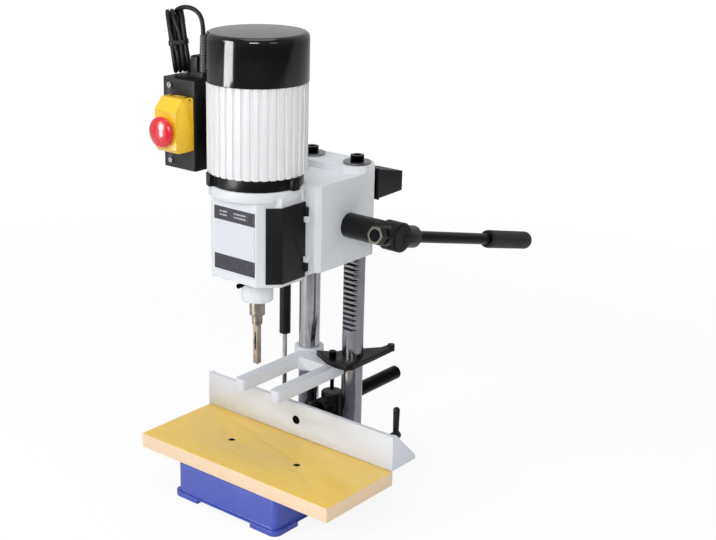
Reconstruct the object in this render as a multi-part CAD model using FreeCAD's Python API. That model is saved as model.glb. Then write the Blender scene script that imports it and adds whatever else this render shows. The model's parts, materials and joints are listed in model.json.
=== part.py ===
"""Benchtop mortiser: head sliding on two columns, fed by a lever and rack.

Millimetres. +X is the operator's right, +Y points to the back, +Z is up. The
origin is the centre of the four bench bolts, at the level the feet stand on.
"""
import FreeCAD, Part
import math
import os

V = FreeCAD.Vector
X, Y, Z = V(1, 0, 0), V(0, 1, 0), V(0, 0, 1)

# ---------------------------------------------------------------- base
base_width = 192.0
base_depth = 268.0
base_shift = -8.0          # the base reaches further to the left, where the gas spring stands
base_height = 53.4
base_wall = 9.0
foot_length = 44.0
foot_lift = 6.5            # height of the shallow arches between the feet
foot_lip = 5.0             # how far the foot rim stands out of the walls
foot_rim = 8.0
bench_bolt_x = 150.0
bench_bolt_y = 220.0
bench_hole_r = 4.25
bench_boss_r = 13.0

# ---------------------------------------------------------------- table
table_width = 360.0
table_depth = 150.0
table_thick = 22.6
table_screw_spacing = 127.6
table_screw_r = 3.0
table_screw_head_r = 5.5
table_screw_head_h = 5.5
table_screw_sink = 7.0
table_screw_length = 36.0

# ---------------------------------------------------------------- columns and rack
column_r = 16.0
column_spacing = 84.4
column_y = 93.8
column_top = 491.3
socket_r = 24.0
socket_height = 16.0       # how far the sockets stand above the base
column_foot = 8.0
rack_module = 2.5
rack_tip = 13.5            # from the column's centre to the tips of the teeth
rack_below = 22            # tooth spaces under the pinion at rest
rack_above = 3
pressure_angle = 20.0
stop_washer_r = 20.0
stop_washer_t = 3.0
stop_bolt_r = 10.0
stop_bolt_h = 9.0
stop_bolt_shank_r = 4.0
stop_bolt_length = 22.0
running = 0.05             # radial clearance of shafts and sliding columns
gap = 0.3                  # clearance between faces that never touch
through = 1000.0           # length of a cutter that goes right through the machine

# ---------------------------------------------------------------- head
spindle_y = -73.9
head_bottom = 356.0
deck_z = 481.0
pad_top = 491.0
head_front = -122.0
head_back = 121.0
head_half = 65.0
front_half = 41.0
neck_start = -53.0
neck_end = -13.0
neck_depth = 7.0
pad_front = 63.0
head_wall = 8.0
chamber_back = -42.0
seat_r = 67.0
seat_drop = 6.0            # how far the motor seat reaches below the deck
seat_top = 489.0
nose_r = 22.8
nose_length = 38.0
corner_r = 15.0

# ---------------------------------------------------------------- chuck door
door_bottom = 361.5
door_top = 468.0
door_thick = 3.0
door_reach = 21.5          # how much of the chamfer the door covers
window_border = 9.0
window_cover = 4.0         # how far the door reaches over the window's front edge
hinge_pin_r = 1.5
hinge_eye_r = 3.2
hinge_eye_h = 12.0

# ---------------------------------------------------------------- motor
ring_r = 63.5
ring_top = 506.0
motor_top = 629.0
fin_r = 68.8
fin_count = 36
fin_groove = 4.6
fin_depth = 3.0
motor_bore_r = 56.0
cap_r = 69.8
cap_height = 65.0
cap_wall = 2.5
cap_round = 7.0
shield_t = 16.0
bearing_seat = 26.0        # outer radius of a bearing's housing
vent_count = 5
lug_angles = (0, 120, 240)
lug_reach = 71.5
lug_width = 15.0
lug_round = 3.0
lug_r = 61.2               # radius of the circle of flange bolts
lug_bolt_head_r = 3.6
lug_bolt_head_h = 4.0
lug_bolt_r = 2.5
lug_bolt_sink = 0.5        # how far the heads lie below the flange's top
lug_bolt_bite = 11.0       # length of the screws inside the casting
shaft_r = 8.5
bearing_r = 20.0
bearing_h = 12.0
stator_bottom = 522.0
stator_top = 602.0
rotor_r = 36.0
air_gap = 0.6
fan_r = 50.0
fan_bottom = 640.0
fan_h = 22.0
fan_blades = 8

# ---------------------------------------------------------------- chuck, bit and chisel
chuck_r = 19.0
chuck_top = 446.0
chuck_bottom = 398.0
jaw_drop = 14.0
bit_r = 3.0
bushing_r = 11.0
bushing_bottom = 295.0
bushing_tip_r = 7.5
bushing_end = 281.0
chisel_side = 8.0
chisel_shank_r = 5.0
chisel_tip = 218.8
lock_screw_z = 347.0
lock_screw_head_r = 3.4
lock_screw_head_h = 8.0
lock_screw_r = 2.5
lock_screw_stand = 9.0     # screw showing between its head and the nose

# ---------------------------------------------------------------- pinion and feed lever
pinion_teeth = 28
pinion_width = 18.0
pinion_x = 42.2
pinion_z = 413.0
pinion_shaft_r = 10.0
bush_r = 13.0
bush_left = 8.0
backlash = 0.14
hub_r = 18.0
hub_end = 132.0
hub_head_r = 21.0
hub_head_length = 30.0
lever_angle = -13.8
lever_r = 8.5
lever_collar_r = 16.0
lever_collar_end = 44.0
grip_start = 246.0
grip_end = 361.0
grip_r = 13.8
nub_end = 366.0
nut_flats = 24.0
nut_thick = 16.0
front_collar = 32.0

# ---------------------------------------------------------------- gas spring
spring_x = -81.5
spring_y = 82.0
spring_body_r = 8.75
spring_wall = 1.6
spring_body_bottom = 203.0
spring_body_top = 388.0
spring_rod_r = 3.5
spring_foot_z = 70.0
spring_eye_r = 8.0
spring_eye_w = 9.0
spring_pin_r = 4.0
spring_lug_t = 5.0
spring_head_z = 398.0

# ---------------------------------------------------------------- fence
fence_front = 13.6
fence_height = 53.5
fence_sheet = 6.0
fence_foot = 56.4
fence_lift = 0.5           # running clearance between the fence and the table
bar_r = 11.0
bar_z = 102.0
bar_back = 266.0
post_r = 17.0
post_y = 100.0
post_top = 122.0
fence_bolt_r = 4.0
bar_boss_r = 15.0
bar_boss_front = 66.0
clamp_y = 76.0
clamp_hub_length = 14.0
clamp_hub_r = 7.0
clamp_stud_r = 4.0
clamp_arm = 32.0
clamp_arm_r = 6.5
stop_lever_inset = 14.0    # from the fence's right end to the lever
stop_lever_z = 120.0
stop_lever_hub_r = 6.0
stop_lever_hub_l = 24.0
stop_lever_stud_r = 3.0
stop_lever_arm = 44.0
stop_lever_arm_r = 4.8

# ---------------------------------------------------------------- hold-down
fork_top = 187.5
fork_thick = 18.0
fork_collar_r = 22.5
fork_collar_bottom = 154.0
fork_collar_top = 189.0
prong_inner = 25.0
prong_width = 16.5
prong_end = -76.0
bridge_front = 48.0
bridge_back = 75.0
plate_thick = 8.2
plate_tail_end = 163.0
plate_tail_width = 11.0
plate_tail_round = 5.5
plate_reach = 28.0         # from the right column's centre to the plate's right edge
plate_left = -8.0
clamp_bolt_x = 27.8
clamp_bolt_y = 64.0
clamp_bolt_r = 3.0
clamp_bolt_top = 206.0
clamp_bolt_bottom = 144.0

# ---------------------------------------------------------------- switch
box_left = -140.0
box_right = -79.0
box_front = -114.0
box_back = -72.0
box_below = 30.0           # how far the housing reaches below its lid
box_above = 22.0           # and above it
box_wall = 2.5
box_screw_side = 14.0      # the housing's screws, from its left side
box_screw_end = 10.0       # and from its ends
box_screw_r = 2.0
lid_left = -121.0
lid_right = -81.0
lid_front = -149.0
lid_bottom = 526.0
lid_height = 74.0
lid_wall = 2.0
lid_hinge_drop = 3.0
lid_hinge_y = -121.0
lid_pin_r = 1.5
button_x = -101.0
stop_button_up = 30.0      # the stop button, above the lid's lower edge
button_spacing = 24.0
button_r = 8.0
button_stand = 8.0
mushroom_r = 21.0
mushroom_stem_r = 7.0
stop_travel = 4.0
bracket_t = 3.0
bracket_foot = 6.0         # bracket's plate, in from the housing's lower end
bracket_head = 8.0         # and from its upper end
bracket_reach = 9.0        # bracket's arm, beyond the housing's side
saddle_low = 530.0
saddle_high = 598.0
saddle_half = 26.0         # half the saddle's depth on the motor's fins
saddle_bite = 8.0          # how far the saddle reaches in between the fins

# ---------------------------------------------------------------- rear cover and label
rear_box_right = 60.0
rear_box_width = 44.0
rear_box_low = 435.5
rear_box_high = 479.0
rear_box_length = 60.0
rear_box_tip_low = 437.0
rear_box_tip_high = 466.0
rear_flange = 2.0
rear_flange_rim = 1.5
label_left = -35.0
label_right = 38.5
label_low = 367.0
label_high = 463.0
label_t = 1.0

# ---------------------------------------------------------------- mains lead
cord_r = 3.1
gland_x = -88.0
gland_y = -86.0
gland_left = 17.0          # how far the cord anchor reaches to the left of the cord
gland_right = 8.0
gland_depth = 20.0
gland_base_h = 9.0
anchor_width = 12.0
anchor_h = 31.0
relief_h = 50.0
relief_low_r = 5.6
relief_top_r = 3.8
hank_x = -130.8
hank_y = -83.0
hank_turn_layers = 4
hank_width = 56.4
hank_height = 91.0
hank_lean = 10.0
hank_turned = 45.0
tie_width = 6.0
plug_x = -148.8
plug_y = -53.5
plug_top = 606.0
plug_body = 44.0
plug_blade = 17.0
plug_relief = 22.0

# ---------------------------------------------------------------- worked out
base_back = base_depth / 2
base_front = -base_depth / 2
table_top = base_height + table_thick
table_front = base_front
table_mid_y = table_front + table_depth / 2
column_x = column_spacing / 2
socket_top = base_height + socket_height
pinion_r = rack_module * pinion_teeth / 2
pinion_tip_r = pinion_r + rack_module
pinion_root_r = pinion_r - 1.25 * rack_module
rack_pitch_y = column_y - rack_tip + rack_module
pinion_y = rack_pitch_y - pinion_r
tooth_pitch = math.pi * rack_module
chamfer = head_half - front_half
stop_lever_x = table_width / 2 - stop_lever_inset
fence_bottom = table_top + fence_lift
fence_back = fence_front + fence_sheet
hub_mid = hub_end + hub_head_length / 2 - 1.0
hank_thick = 2 * cord_r * hank_turn_layers
door_hinge_x = head_half + gap + hinge_eye_r
cap_top = motor_top + cap_height
lid_top = lid_bottom + lid_height
lid_hinge_z = lid_top - lid_hinge_drop
box_bottom = lid_bottom - box_below
box_top = lid_top + box_above
stop_z = lid_bottom + stop_button_up
start_z = stop_z + button_spacing
door_hinge_y = neck_start + 3.0
bracket_y = box_back + bracket_t


def box(x0, x1, y0, y1, z0, z1):
    """A block between two corners."""
    return Part.makeBox(x1 - x0, y1 - y0, z1 - z0, V(x0, y0, z0))


def rod(x, y, z, r, length, direction=Z):
    """A cylinder that starts at a point and runs along a direction."""
    return Part.makeCylinder(r, length, V(x, y, z), direction)


def tube(x, y, z, outer, inner, length, direction=Z):
    """A round tube."""
    return rod(x, y, z, outer, length, direction).cut(rod(x, y, z, inner, length, direction))


def cone(x, y, z, r0, r1, length, direction=Z):
    """A tapered round bar."""
    return Part.makeCone(r0, r1, length, V(x, y, z), direction)


def prism(points, z0, z1):
    """A flat outline, given as (x, y) corners, raised from z0 to z1."""
    ring = [V(x, y, z0) for x, y in points]
    wire = Part.makePolygon(ring + ring[:1])
    return Part.Face(wire).extrude(V(0, 0, z1 - z0))


def profile_x(points, x0, x1):
    """An outline in the YZ plane, carried along X."""
    ring = [V(x0, y, z) for y, z in points]
    wire = Part.makePolygon(ring + ring[:1])
    return Part.Face(wire).extrude(V(x1 - x0, 0, 0))


def join(first, *others):
    """One solid out of pieces that touch."""
    for other in others:
        first = first.fuse(other)
    return first.removeSplitter()


def group(shapes):
    """Separate solids that share one node."""
    return Part.makeCompound(shapes)


def hexagon(x, y, z, flats, length, direction=Z):
    """A hexagonal bar that starts at a point."""
    radius = flats / math.sqrt(3)
    corners = [V(radius * math.cos(k * math.pi / 3), radius * math.sin(k * math.pi / 3), 0)
               for k in range(6)]
    bar = Part.Face(Part.makePolygon(corners + corners[:1])).extrude(V(0, 0, length))
    bar.Placement = FreeCAD.Placement(V(x, y, z), FreeCAD.Rotation(Z, direction))
    return bar


def socket_screw(x, y, z, head_r, head_h, shank_r, shank_l, direction):
    """A cap screw: head outwards along the direction, shank back into the work."""
    back = direction * -1
    head = rod(x, y, z, head_r, head_h, direction)
    start = V(x, y, z) + direction * (head_h * 0.45)
    key = hexagon(start.x, start.y, start.z, head_r * 0.95, head_h, direction)
    return join(head.cut(key), rod(x, y, z, shank_r, shank_l, back))


def outer_edges(shape, test):
    """The edges whose middle passes a test."""
    return [e for e in shape.Edges if test(e.CenterOfMass)]


# ================================================================ base
def make_base():
    """A hollow casting with corner feet, a shallow arch between them and two column sockets."""
    hw, hd = base_width / 2, base_depth / 2
    low, high = base_shift - hw, base_shift + hw
    body = box(low, high, -hd, hd, 0, base_height)
    uprights = [e for e in body.Edges if abs(e.Vertexes[0].Z - e.Vertexes[1].Z) > base_height / 2]
    body = body.makeFillet(8.0, uprights)
    rim = box(low - foot_lip, high + foot_lip, -hd - foot_lip, hd + foot_lip, 0, foot_rim)
    uprights = [e for e in rim.Edges if abs(e.Vertexes[0].Z - e.Vertexes[1].Z) > foot_rim / 2]
    body = join(body, rim.makeFillet(12.0, uprights))
    sockets = [rod(sx * column_x, column_y, 0, socket_r, socket_top) for sx in (-1, 1)]
    bosses = [rod(sx * bench_bolt_x / 2, sy * bench_bolt_y / 2, 0, bench_boss_r, base_height)
              for sx in (-1, 1) for sy in (-1, 1)]
    screw_bosses = [rod(sx * table_screw_spacing / 2, table_mid_y, base_height / 2, 9.0, base_height / 2)
                    for sx in (-1, 1)]
    post_boss = rod(0, post_y, base_height - 26.0, 15.0, 26.0)
    hollow = box(low + base_wall, high - base_wall, -hd + base_wall, hd - base_wall,
                 -1, base_height - base_wall)
    body = body.cut(hollow)
    body = join(body, *(sockets + bosses + screw_bosses + [post_boss]))
    arch_x = box(low + foot_length, high - foot_length, -hd - 20, hd + 20, -1, foot_lift)
    span = hd - foot_length
    arch_y = box(low - 20, high + 20, -span, span, -1, foot_lift)
    middle = [rod(sx * column_x, column_y, -1, socket_r, foot_lift + 1) for sx in (-1, 1)]
    body = body.cut(arch_x).cut(arch_y)
    body = body.cut(middle[0]).cut(middle[1])
    for sx in (-1, 1):
        body = body.cut(rod(sx * column_x, column_y, column_foot, column_r, socket_top))
        body = body.cut(rod(sx * table_screw_spacing / 2, table_mid_y, 0, table_screw_r, base_height + 1))
        for sy in (-1, 1):
            hole = rod(sx * bench_bolt_x / 2, sy * bench_bolt_y / 2, -1, bench_hole_r, base_height - 8)
            body = body.cut(hole)
    body = body.cut(rod(0, post_y, 0, 4.0, base_height + 1))
    lug_x = spring_x + spring_eye_w / 2 + gap
    lug = join(box(lug_x, lug_x + spring_lug_t, spring_y - spring_eye_r, spring_y + spring_eye_r,
                   base_height - 2, spring_foot_z),
               rod(lug_x, spring_y, spring_foot_z, spring_eye_r, spring_lug_t, X))
    pin = rod(spring_x - spring_eye_w / 2, spring_y, spring_foot_z, spring_pin_r,
              spring_eye_w + gap + spring_lug_t, X)
    return join(body, lug, pin)


def make_table():
    """The wooden board, with countersunk screw holes."""
    board = box(-table_width / 2, table_width / 2, table_front, table_front + table_depth,
                base_height, table_top)
    board = board.makeChamfer(1.0, board.Edges)
    for sx in (-1, 1):
        cx = sx * table_screw_spacing / 2
        board = board.cut(rod(cx, table_mid_y, base_height - 1, table_screw_r, table_thick + 2))
        board = board.cut(rod(cx, table_mid_y, table_top - table_screw_sink, table_screw_head_r + gap,
                              table_thick))
    return board


def make_table_screws():
    """Two socket screws sunk in the board."""
    screws = []
    for sx in (-1, 1):
        screws.append(socket_screw(sx * table_screw_spacing / 2, table_mid_y,
                                   table_top - table_screw_sink, table_screw_head_r,
                                   table_screw_head_h, table_screw_r, table_screw_length, Z))
    return group(screws)


def make_left_column():
    """The plain guide column."""
    column = rod(-column_x, column_y, column_foot, column_r, column_top - column_foot)
    column = column.cut(rod(-column_x, column_y, column_top - stop_bolt_length, stop_bolt_shank_r,
                            stop_bolt_length + 1))
    return column


def make_rack_column():
    """The column that carries the rack on its front face."""
    column = rod(column_x, column_y, column_foot, column_r, column_top - column_foot)
    low = pinion_z - (rack_below + 0.5) * tooth_pitch
    high = pinion_z + (rack_above + 0.5) * tooth_pitch
    face_y = column_y - rack_tip
    column = column.cut(box(column_x - column_r, column_x + column_r, column_y - column_r - 1,
                            face_y, low, high))
    slope = math.tan(math.radians(pressure_angle))
    half_pitch = tooth_pitch / 4
    root_y = face_y + 2.25 * rack_module
    half_tip = half_pitch + rack_module * slope
    half_root = half_pitch - 1.25 * rack_module * slope
    spaces = []
    for k in range(-rack_below, rack_above + 1):
        z = pinion_z + k * tooth_pitch
        spaces.append(profile_x([(face_y - 3, z - half_tip - 3 * slope), (root_y, z - half_root),
                                 (root_y, z + half_root), (face_y - 3, z + half_tip + 3 * slope)],
                                column_x - column_r, column_x + column_r))
    for space in spaces:
        column = column.cut(space)
    return column.cut(rod(column_x, column_y, column_top - stop_bolt_length, stop_bolt_shank_r,
                          stop_bolt_length + 1))


def make_column_stops():
    """A washer and a bolt on top of each column keep the head on."""
    washers, bolts = [], []
    for sx in (-1, 1):
        washers.append(tube(sx * column_x, column_y, column_top, stop_washer_r,
                            stop_bolt_shank_r + 0.2, stop_washer_t))
        bolts.append(socket_screw(sx * column_x, column_y, column_top + stop_washer_t,
                                  stop_bolt_r, stop_bolt_h, stop_bolt_shank_r, stop_bolt_length, Z))
    return group(washers), group(bolts)


# ================================================================ fence
def make_bar_post():
    """The post between the columns that the fence bar slides through."""
    post = rod(0, post_y, base_height, post_r, post_top - base_height)
    post = post.makeFillet(2.5, outer_edges(post, lambda c: c.z > post_top - 0.1))
    boss = rod(0, bar_boss_front, bar_z, bar_boss_r, post_y - bar_boss_front, Y)
    post = join(post, boss, rod(0, post_y, base_height - 20, 4.0, 20))
    post = post.cut(rod(0, post_y - through / 2, bar_z, bar_r + running, through, Y))
    return post.cut(rod(0, clamp_y, bar_z, clamp_stud_r + running, bar_boss_r + 5, X * -1))


def make_fence_plate():
    """A tall face and a foot, tied by a gusset at each end."""
    hw = table_width / 2
    top = fence_bottom + fence_height
    foot_back = fence_front + fence_foot
    face = box(-hw, hw, fence_front, fence_back, fence_bottom, top)
    foot = box(-hw, hw, fence_front, foot_back, fence_bottom, fence_bottom + fence_sheet)
    gusset = [(fence_front, fence_bottom), (foot_back, fence_bottom),
              (foot_back, fence_bottom + fence_sheet), (fence_back + 2, top), (fence_front, top)]
    ends = [profile_x(gusset, x0, x0 + fence_sheet) for x0 in (-hw, hw - fence_sheet)]
    boss = rod(0, fence_back, bar_z, bar_r + 4, 8, Y)
    plate = join(face, foot, *(ends + [boss]))
    plate = plate.cut(rod(0, fence_front - 1, bar_z, fence_bolt_r + 0.2, 40, Y))
    plate = plate.cut(rod(0, fence_front - 1, bar_z, 7.0, 5.5, Y))
    plate = plate.cut(rod(0, fence_back + 2, bar_z, bar_r, 40, Y))
    return plate.cut(rod(stop_lever_x, fence_front + 2, stop_lever_z, stop_lever_stud_r + running, 20, Y))


def make_fence_bar():
    """The round bar that guides the fence."""
    start = fence_back + 2
    bar = rod(0, start, bar_z, bar_r, bar_back - start, Y)
    bar = bar.makeChamfer(1.5, outer_edges(bar, lambda c: c.y > bar_back - 0.1))
    return bar.cut(rod(0, start - 1, bar_z, fence_bolt_r, 30, Y))


def make_fence_bolt():
    """The bolt that holds the fence on its bar."""
    return socket_screw(0, fence_front + 4.5, bar_z, 6.5, 4.5, fence_bolt_r, 25.0, Y * -1)


def clamp_lever(hub_at, outwards, hub_r, hub_l, arm_r, arm, stud_r, stud_l):
    """A moulded clamp lever: round hub, upright arm with a ball end, and a stud."""
    hub = rod(hub_at.x, hub_at.y, hub_at.z, hub_r, hub_l, outwards)
    root = hub_at + outwards * (hub_l - arm_r)
    stem = cone(root.x, root.y, root.z, arm_r * 0.85, arm_r, arm - arm_r, Z)
    ball = Part.makeSphere(arm_r, root + V(0, 0, arm - arm_r))
    stud = rod(hub_at.x, hub_at.y, hub_at.z, stud_r, stud_l, outwards * -1)
    return join(hub, stem, ball, stud)


def make_bar_clamp():
    """The lever on the boss that locks the fence bar."""
    hub_at = V(-bar_boss_r - gap, clamp_y, bar_z)
    return clamp_lever(hub_at, X * -1, clamp_hub_r, clamp_hub_length, clamp_arm_r, clamp_arm,
                       clamp_stud_r, bar_boss_r + gap - bar_r - running)


def make_stop_lever():
    """The lever at the fence's right end."""
    hub_at = V(stop_lever_x, fence_back + gap, stop_lever_z)
    return clamp_lever(hub_at, Y, stop_lever_hub_r, stop_lever_hub_l, stop_lever_arm_r,
                       stop_lever_arm, stop_lever_stud_r, gap + fence_sheet - 2.0)


# ================================================================ hold-down
def make_fork():
    """A collar on the left column and two prongs that straddle the chisel."""
    low = fork_top - fork_thick
    outer = prong_inner + prong_width
    bridge = box(-outer, outer, bridge_front, bridge_back, low, fork_top)
    prongs = [box(min(s * prong_inner, s * outer), max(s * prong_inner, s * outer),
                  prong_end, bridge_back, low, fork_top) for s in (-1, 1)]
    fork = join(bridge, *prongs)
    fork = fork.makeFillet(5.0, outer_edges(
        fork, lambda c: abs(c.z - fork_top + fork_thick / 2) < 1 and c.y < prong_end + 1))
    collar = rod(-column_x, column_y, fork_collar_bottom, fork_collar_r,
                 fork_collar_top - fork_collar_bottom)
    fork = join(fork, collar)
    fork = fork.cut(rod(-column_x, column_y, 0, column_r + running, through))
    return fork.cut(rod(clamp_bolt_x, clamp_bolt_y, 0, clamp_bolt_r + 0.2, through))


def make_holddown_plate():
    """The cranked plate that ties the fork to the right column and ends in a tail."""
    low = fork_top + gap
    cx, cy = column_x, column_y
    right = cx + plate_reach
    tail = right - plate_tail_width
    front = [(plate_left, cy - 24), (plate_left + 16, cy - 32), (clamp_bolt_x - 2, cy - 41),
             (cx + 4, cy - 45), (right - 6, cy - 43), (right, cy - 34)]
    back = [(right - 1, plate_tail_end), (tail, plate_tail_end), (tail - 2, cy + 52),
            (cx - 2, cy + 30), (cx - 21, cy + 14), (cx - 23, cy - 4), (plate_left + 16, cy - 14)]
    outline = front + [(right, cy + 22)] + back
    plate = prism(outline, low, low + plate_thick)
    end = rod(right - plate_tail_width / 2, plate_tail_end - 2, low, plate_tail_round, plate_thick + 2)
    plate = join(plate, end)
    plate = plate.cut(rod(cx, cy, 0, column_r + running, through))
    return plate.cut(rod(clamp_bolt_x, clamp_bolt_y, 0, clamp_bolt_r + 0.2, through))


def make_holddown_bolt():
    """The bolt through the plate and the fork."""
    seat = fork_top + gap + plate_thick
    head = clamp_bolt_top - seat
    return socket_screw(clamp_bolt_x, clamp_bolt_y, seat, 5.5, head, clamp_bolt_r,
                        seat - clamp_bolt_bottom, Z)


def make_holddown_nut():
    """The nut under the fork."""
    low = fork_top - fork_thick
    nut = hexagon(clamp_bolt_x, clamp_bolt_y, low - 6, 10.0, 6.0)
    return nut.cut(rod(clamp_bolt_x, clamp_bolt_y, low - 7, clamp_bolt_r, 8))


# ================================================================ head
def head_outline(inset):
    """The plan of the head, moved inwards by a wall."""
    f, h, b = head_front + inset, head_half - inset, head_back - inset
    c = chamfer - inset * (2 - math.sqrt(2))
    n = neck_depth if inset == 0 else 0
    right = [(h - c, f), (h, f + c), (h, neck_start), (h - n, neck_start + n),
             (h - n, neck_end - n), (h, neck_end), (h, b - corner_r), (h - corner_r, b)]
    return right + [(-x, y) for x, y in reversed(right)]


def make_head():
    """The main casting: spindle housing in front, column block behind."""
    body = prism(head_outline(0), head_bottom, deck_z)
    edge = pad_front + chamfer * 0.95
    pad = prism([(-front_half, pad_front), (front_half, pad_front), (head_half, edge),
                 (head_half, head_back - corner_r), (head_half - corner_r, head_back),
                 (-head_half + corner_r, head_back), (-head_half, head_back - corner_r),
                 (-head_half, edge)], deck_z, pad_top)
    seat = rod(0, spindle_y, deck_z - seat_drop, seat_r, seat_top - deck_z + seat_drop)
    nose = rod(0, spindle_y, head_bottom - nose_length, nose_r, nose_length + head_wall)
    nose = nose.makeFillet(2.0, outer_edges(nose, lambda c: c.z < head_bottom - nose_length + 0.1))
    body = join(body, pad, seat, nose)
    inner = head_half - head_wall
    room_c = chamfer - head_wall * (2 - math.sqrt(2))
    room_f = head_front + head_wall
    room = prism([(-inner + room_c, room_f), (inner - room_c, room_f), (inner, room_f + room_c),
                  (inner, neck_start - 4), (inner - neck_depth, neck_start + 2),
                  (inner - neck_depth, chamber_back), (-inner + neck_depth, chamber_back),
                  (-inner + neck_depth, neck_start + 2), (-inner, neck_start - 4),
                  (-inner, room_f + room_c)], head_bottom + head_wall, deck_z - head_wall)
    body = body.cut(room)
    body = body.cut(rod(0, spindle_y, deck_z - 20, 30.0, 40))
    body = body.cut(rod(0, spindle_y, head_bottom - nose_length - 1, bushing_r, nose_length + 20))
    edge_x = head_half - door_reach * math.sqrt(0.5) + window_cover
    edge_y = head_front + chamfer - head_half + edge_x
    window = prism([(edge_x + 8, edge_y - 8), (head_half + 9, edge_y - 8),
                    (head_half + 9, neck_start - 6), (inner - 5, neck_start - 6),
                    (edge_x - 12, edge_y + 12)],
                   door_bottom + window_border, door_top - window_border)
    body = body.cut(window)
    pocket = box(-inner + neck_depth, 22.0, chamber_back + head_wall, 26.0, head_bottom - 1, deck_z - 12)
    body = body.cut(pocket)
    chamber = rod(pinion_x - pinion_width / 2 - 2, pinion_y, pinion_z, pinion_tip_r + 1.5,
                  pinion_width + 4, X)
    throat = box(pinion_x - pinion_width / 2 - 2, pinion_x + pinion_width / 2 + 2,
                 pinion_y - pinion_tip_r - 1.5, pinion_y + pinion_tip_r + 1.5,
                 head_bottom - 1, pinion_z)
    body = body.cut(chamber).cut(throat)
    body = body.cut(rod(bush_left, pinion_y, pinion_z, bush_r, head_half, X))
    for sx in (-1, 1):
        body = body.cut(rod(sx * column_x, column_y, 0, column_r + running, through))
    for angle in lug_angles:
        at = lug_at(angle)
        body = body.cut(rod(at.x, at.y, seat_top - lug_bolt_bite - 1, lug_bolt_r, lug_bolt_bite + 2))
    stud = rod(-head_half - 6, spring_y, spring_head_z, 10.0, 10, X)
    pin = rod(spring_x - spring_eye_w / 2, spring_y, spring_head_z, spring_pin_r,
              -head_half - spring_x + spring_eye_w / 2 + 2, X)
    body = join(body, stud, pin)
    ears = [box(neck_x(), door_hinge_x + hinge_eye_r, door_hinge_y - 2.5, door_hinge_y + 5, z0, z0 + 9)
            for z0 in hinge_ear_levels()]
    body = join(body, *ears)
    body = body.cut(rod(door_hinge_x, door_hinge_y, door_bottom, hinge_pin_r, door_top - door_bottom))
    front = spindle_y - nose_r - 1
    return body.cut(rod(0, front, lock_screw_z, lock_screw_r + running, nose_r + 1, Y))


def neck_x():
    """Where the recessed part of the right side lies, a little inside its face."""
    return head_half - neck_depth - 3.0


def hinge_ear_levels():
    """Heights at which the casting's hinge ears start."""
    return (door_bottom + 8 + hinge_eye_h + gap, door_top - 8 - hinge_eye_h - gap - 9)


def make_door():
    """A bent cover over the chuck window, with two hinge eyes."""
    x0 = head_half + gap
    reach = door_reach * math.sqrt(0.5)
    k = math.sqrt(2) - 1
    t = door_thick
    inner = [(x0, door_hinge_y - 1), (x0, head_front + chamfer - gap * k),
             (x0 - reach, head_front + chamfer - gap * k - reach)]
    d = t * math.sqrt(0.5)
    outer = [(x0 - reach + d, head_front + chamfer - gap * k - reach - d),
             (x0 + t, head_front + chamfer - gap * k - t * k), (x0 + t, door_hinge_y - 1)]
    sheet = prism(inner + outer, door_bottom, door_top)
    door = sheet
    for z0, z1 in clear_levels():
        door = door.cut(box(x0 - 6, door_hinge_x + 9, door_hinge_y - 6, door_hinge_y + 9, z0, z1))
    eyes = [rod(door_hinge_x, door_hinge_y, z0, hinge_eye_r, hinge_eye_h) for z0 in eye_levels()]
    door = join(door, *eyes)
    return door.cut(rod(door_hinge_x, door_hinge_y, 0, hinge_pin_r + running, through))


def eye_levels():
    """Heights at which the door's hinge eyes start."""
    return (door_bottom + 8, door_top - 8 - hinge_eye_h)


def clear_levels():
    """The stretches of the door's hinge edge that are cut away round the casting's ears."""
    return [(z0 - gap, z0 + 9 + gap) for z0 in hinge_ear_levels()]


def make_hinge_pins():
    """Two pins, fixed in the casting's ears."""
    lower = hinge_ear_levels()[0] + 9 - (door_bottom + 6)
    return group([rod(door_hinge_x, door_hinge_y, door_bottom + 6, hinge_pin_r, lower),
                  rod(door_hinge_x, door_hinge_y, hinge_ear_levels()[1], hinge_pin_r, lower)])


def make_label():
    """A bare plate on the front face."""
    return box(label_left, label_right, head_front - label_t, head_front,
               label_low, label_high)


def make_rear_cover():
    """A tapered moulded cover on the back of the head."""
    x1 = rear_box_right
    x0 = x1 - rear_box_width
    y0 = head_back
    y1 = y0 + rear_flange
    y2 = y1 + rear_box_length
    shell = profile_x([(y0, rear_box_low), (y1, rear_box_low), (y2, rear_box_tip_low),
                       (y2, rear_box_tip_high), (y1, rear_box_high), (y0, rear_box_high)], x0, x1)
    shell = shell.makeFillet(3.0, outer_edges(shell, lambda c: c.y > y2 - 0.1))
    rim = rear_flange_rim
    flange = box(x0 - rim, x1 + rim, y0, y1, rear_box_low - rim, rear_box_high + rim)
    core = profile_x([(y0 - 1, rear_box_low + 3), (y2 - 3, rear_box_tip_low + 3),
                      (y2 - 3, rear_box_tip_high - 3), (y0 - 1, rear_box_high - 3)], x0 + 3, x1 - 3)
    clear = rod(column_x, column_y, 0, column_r + 1, through)
    return join(shell, flange).cut(core).cut(clear)


# ================================================================ motor
def lug_at(angle):
    """Where a flange bolt stands."""
    a = math.radians(angle)
    return V(lug_r * math.cos(a), spindle_y + lug_r * math.sin(a), 0)


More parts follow.
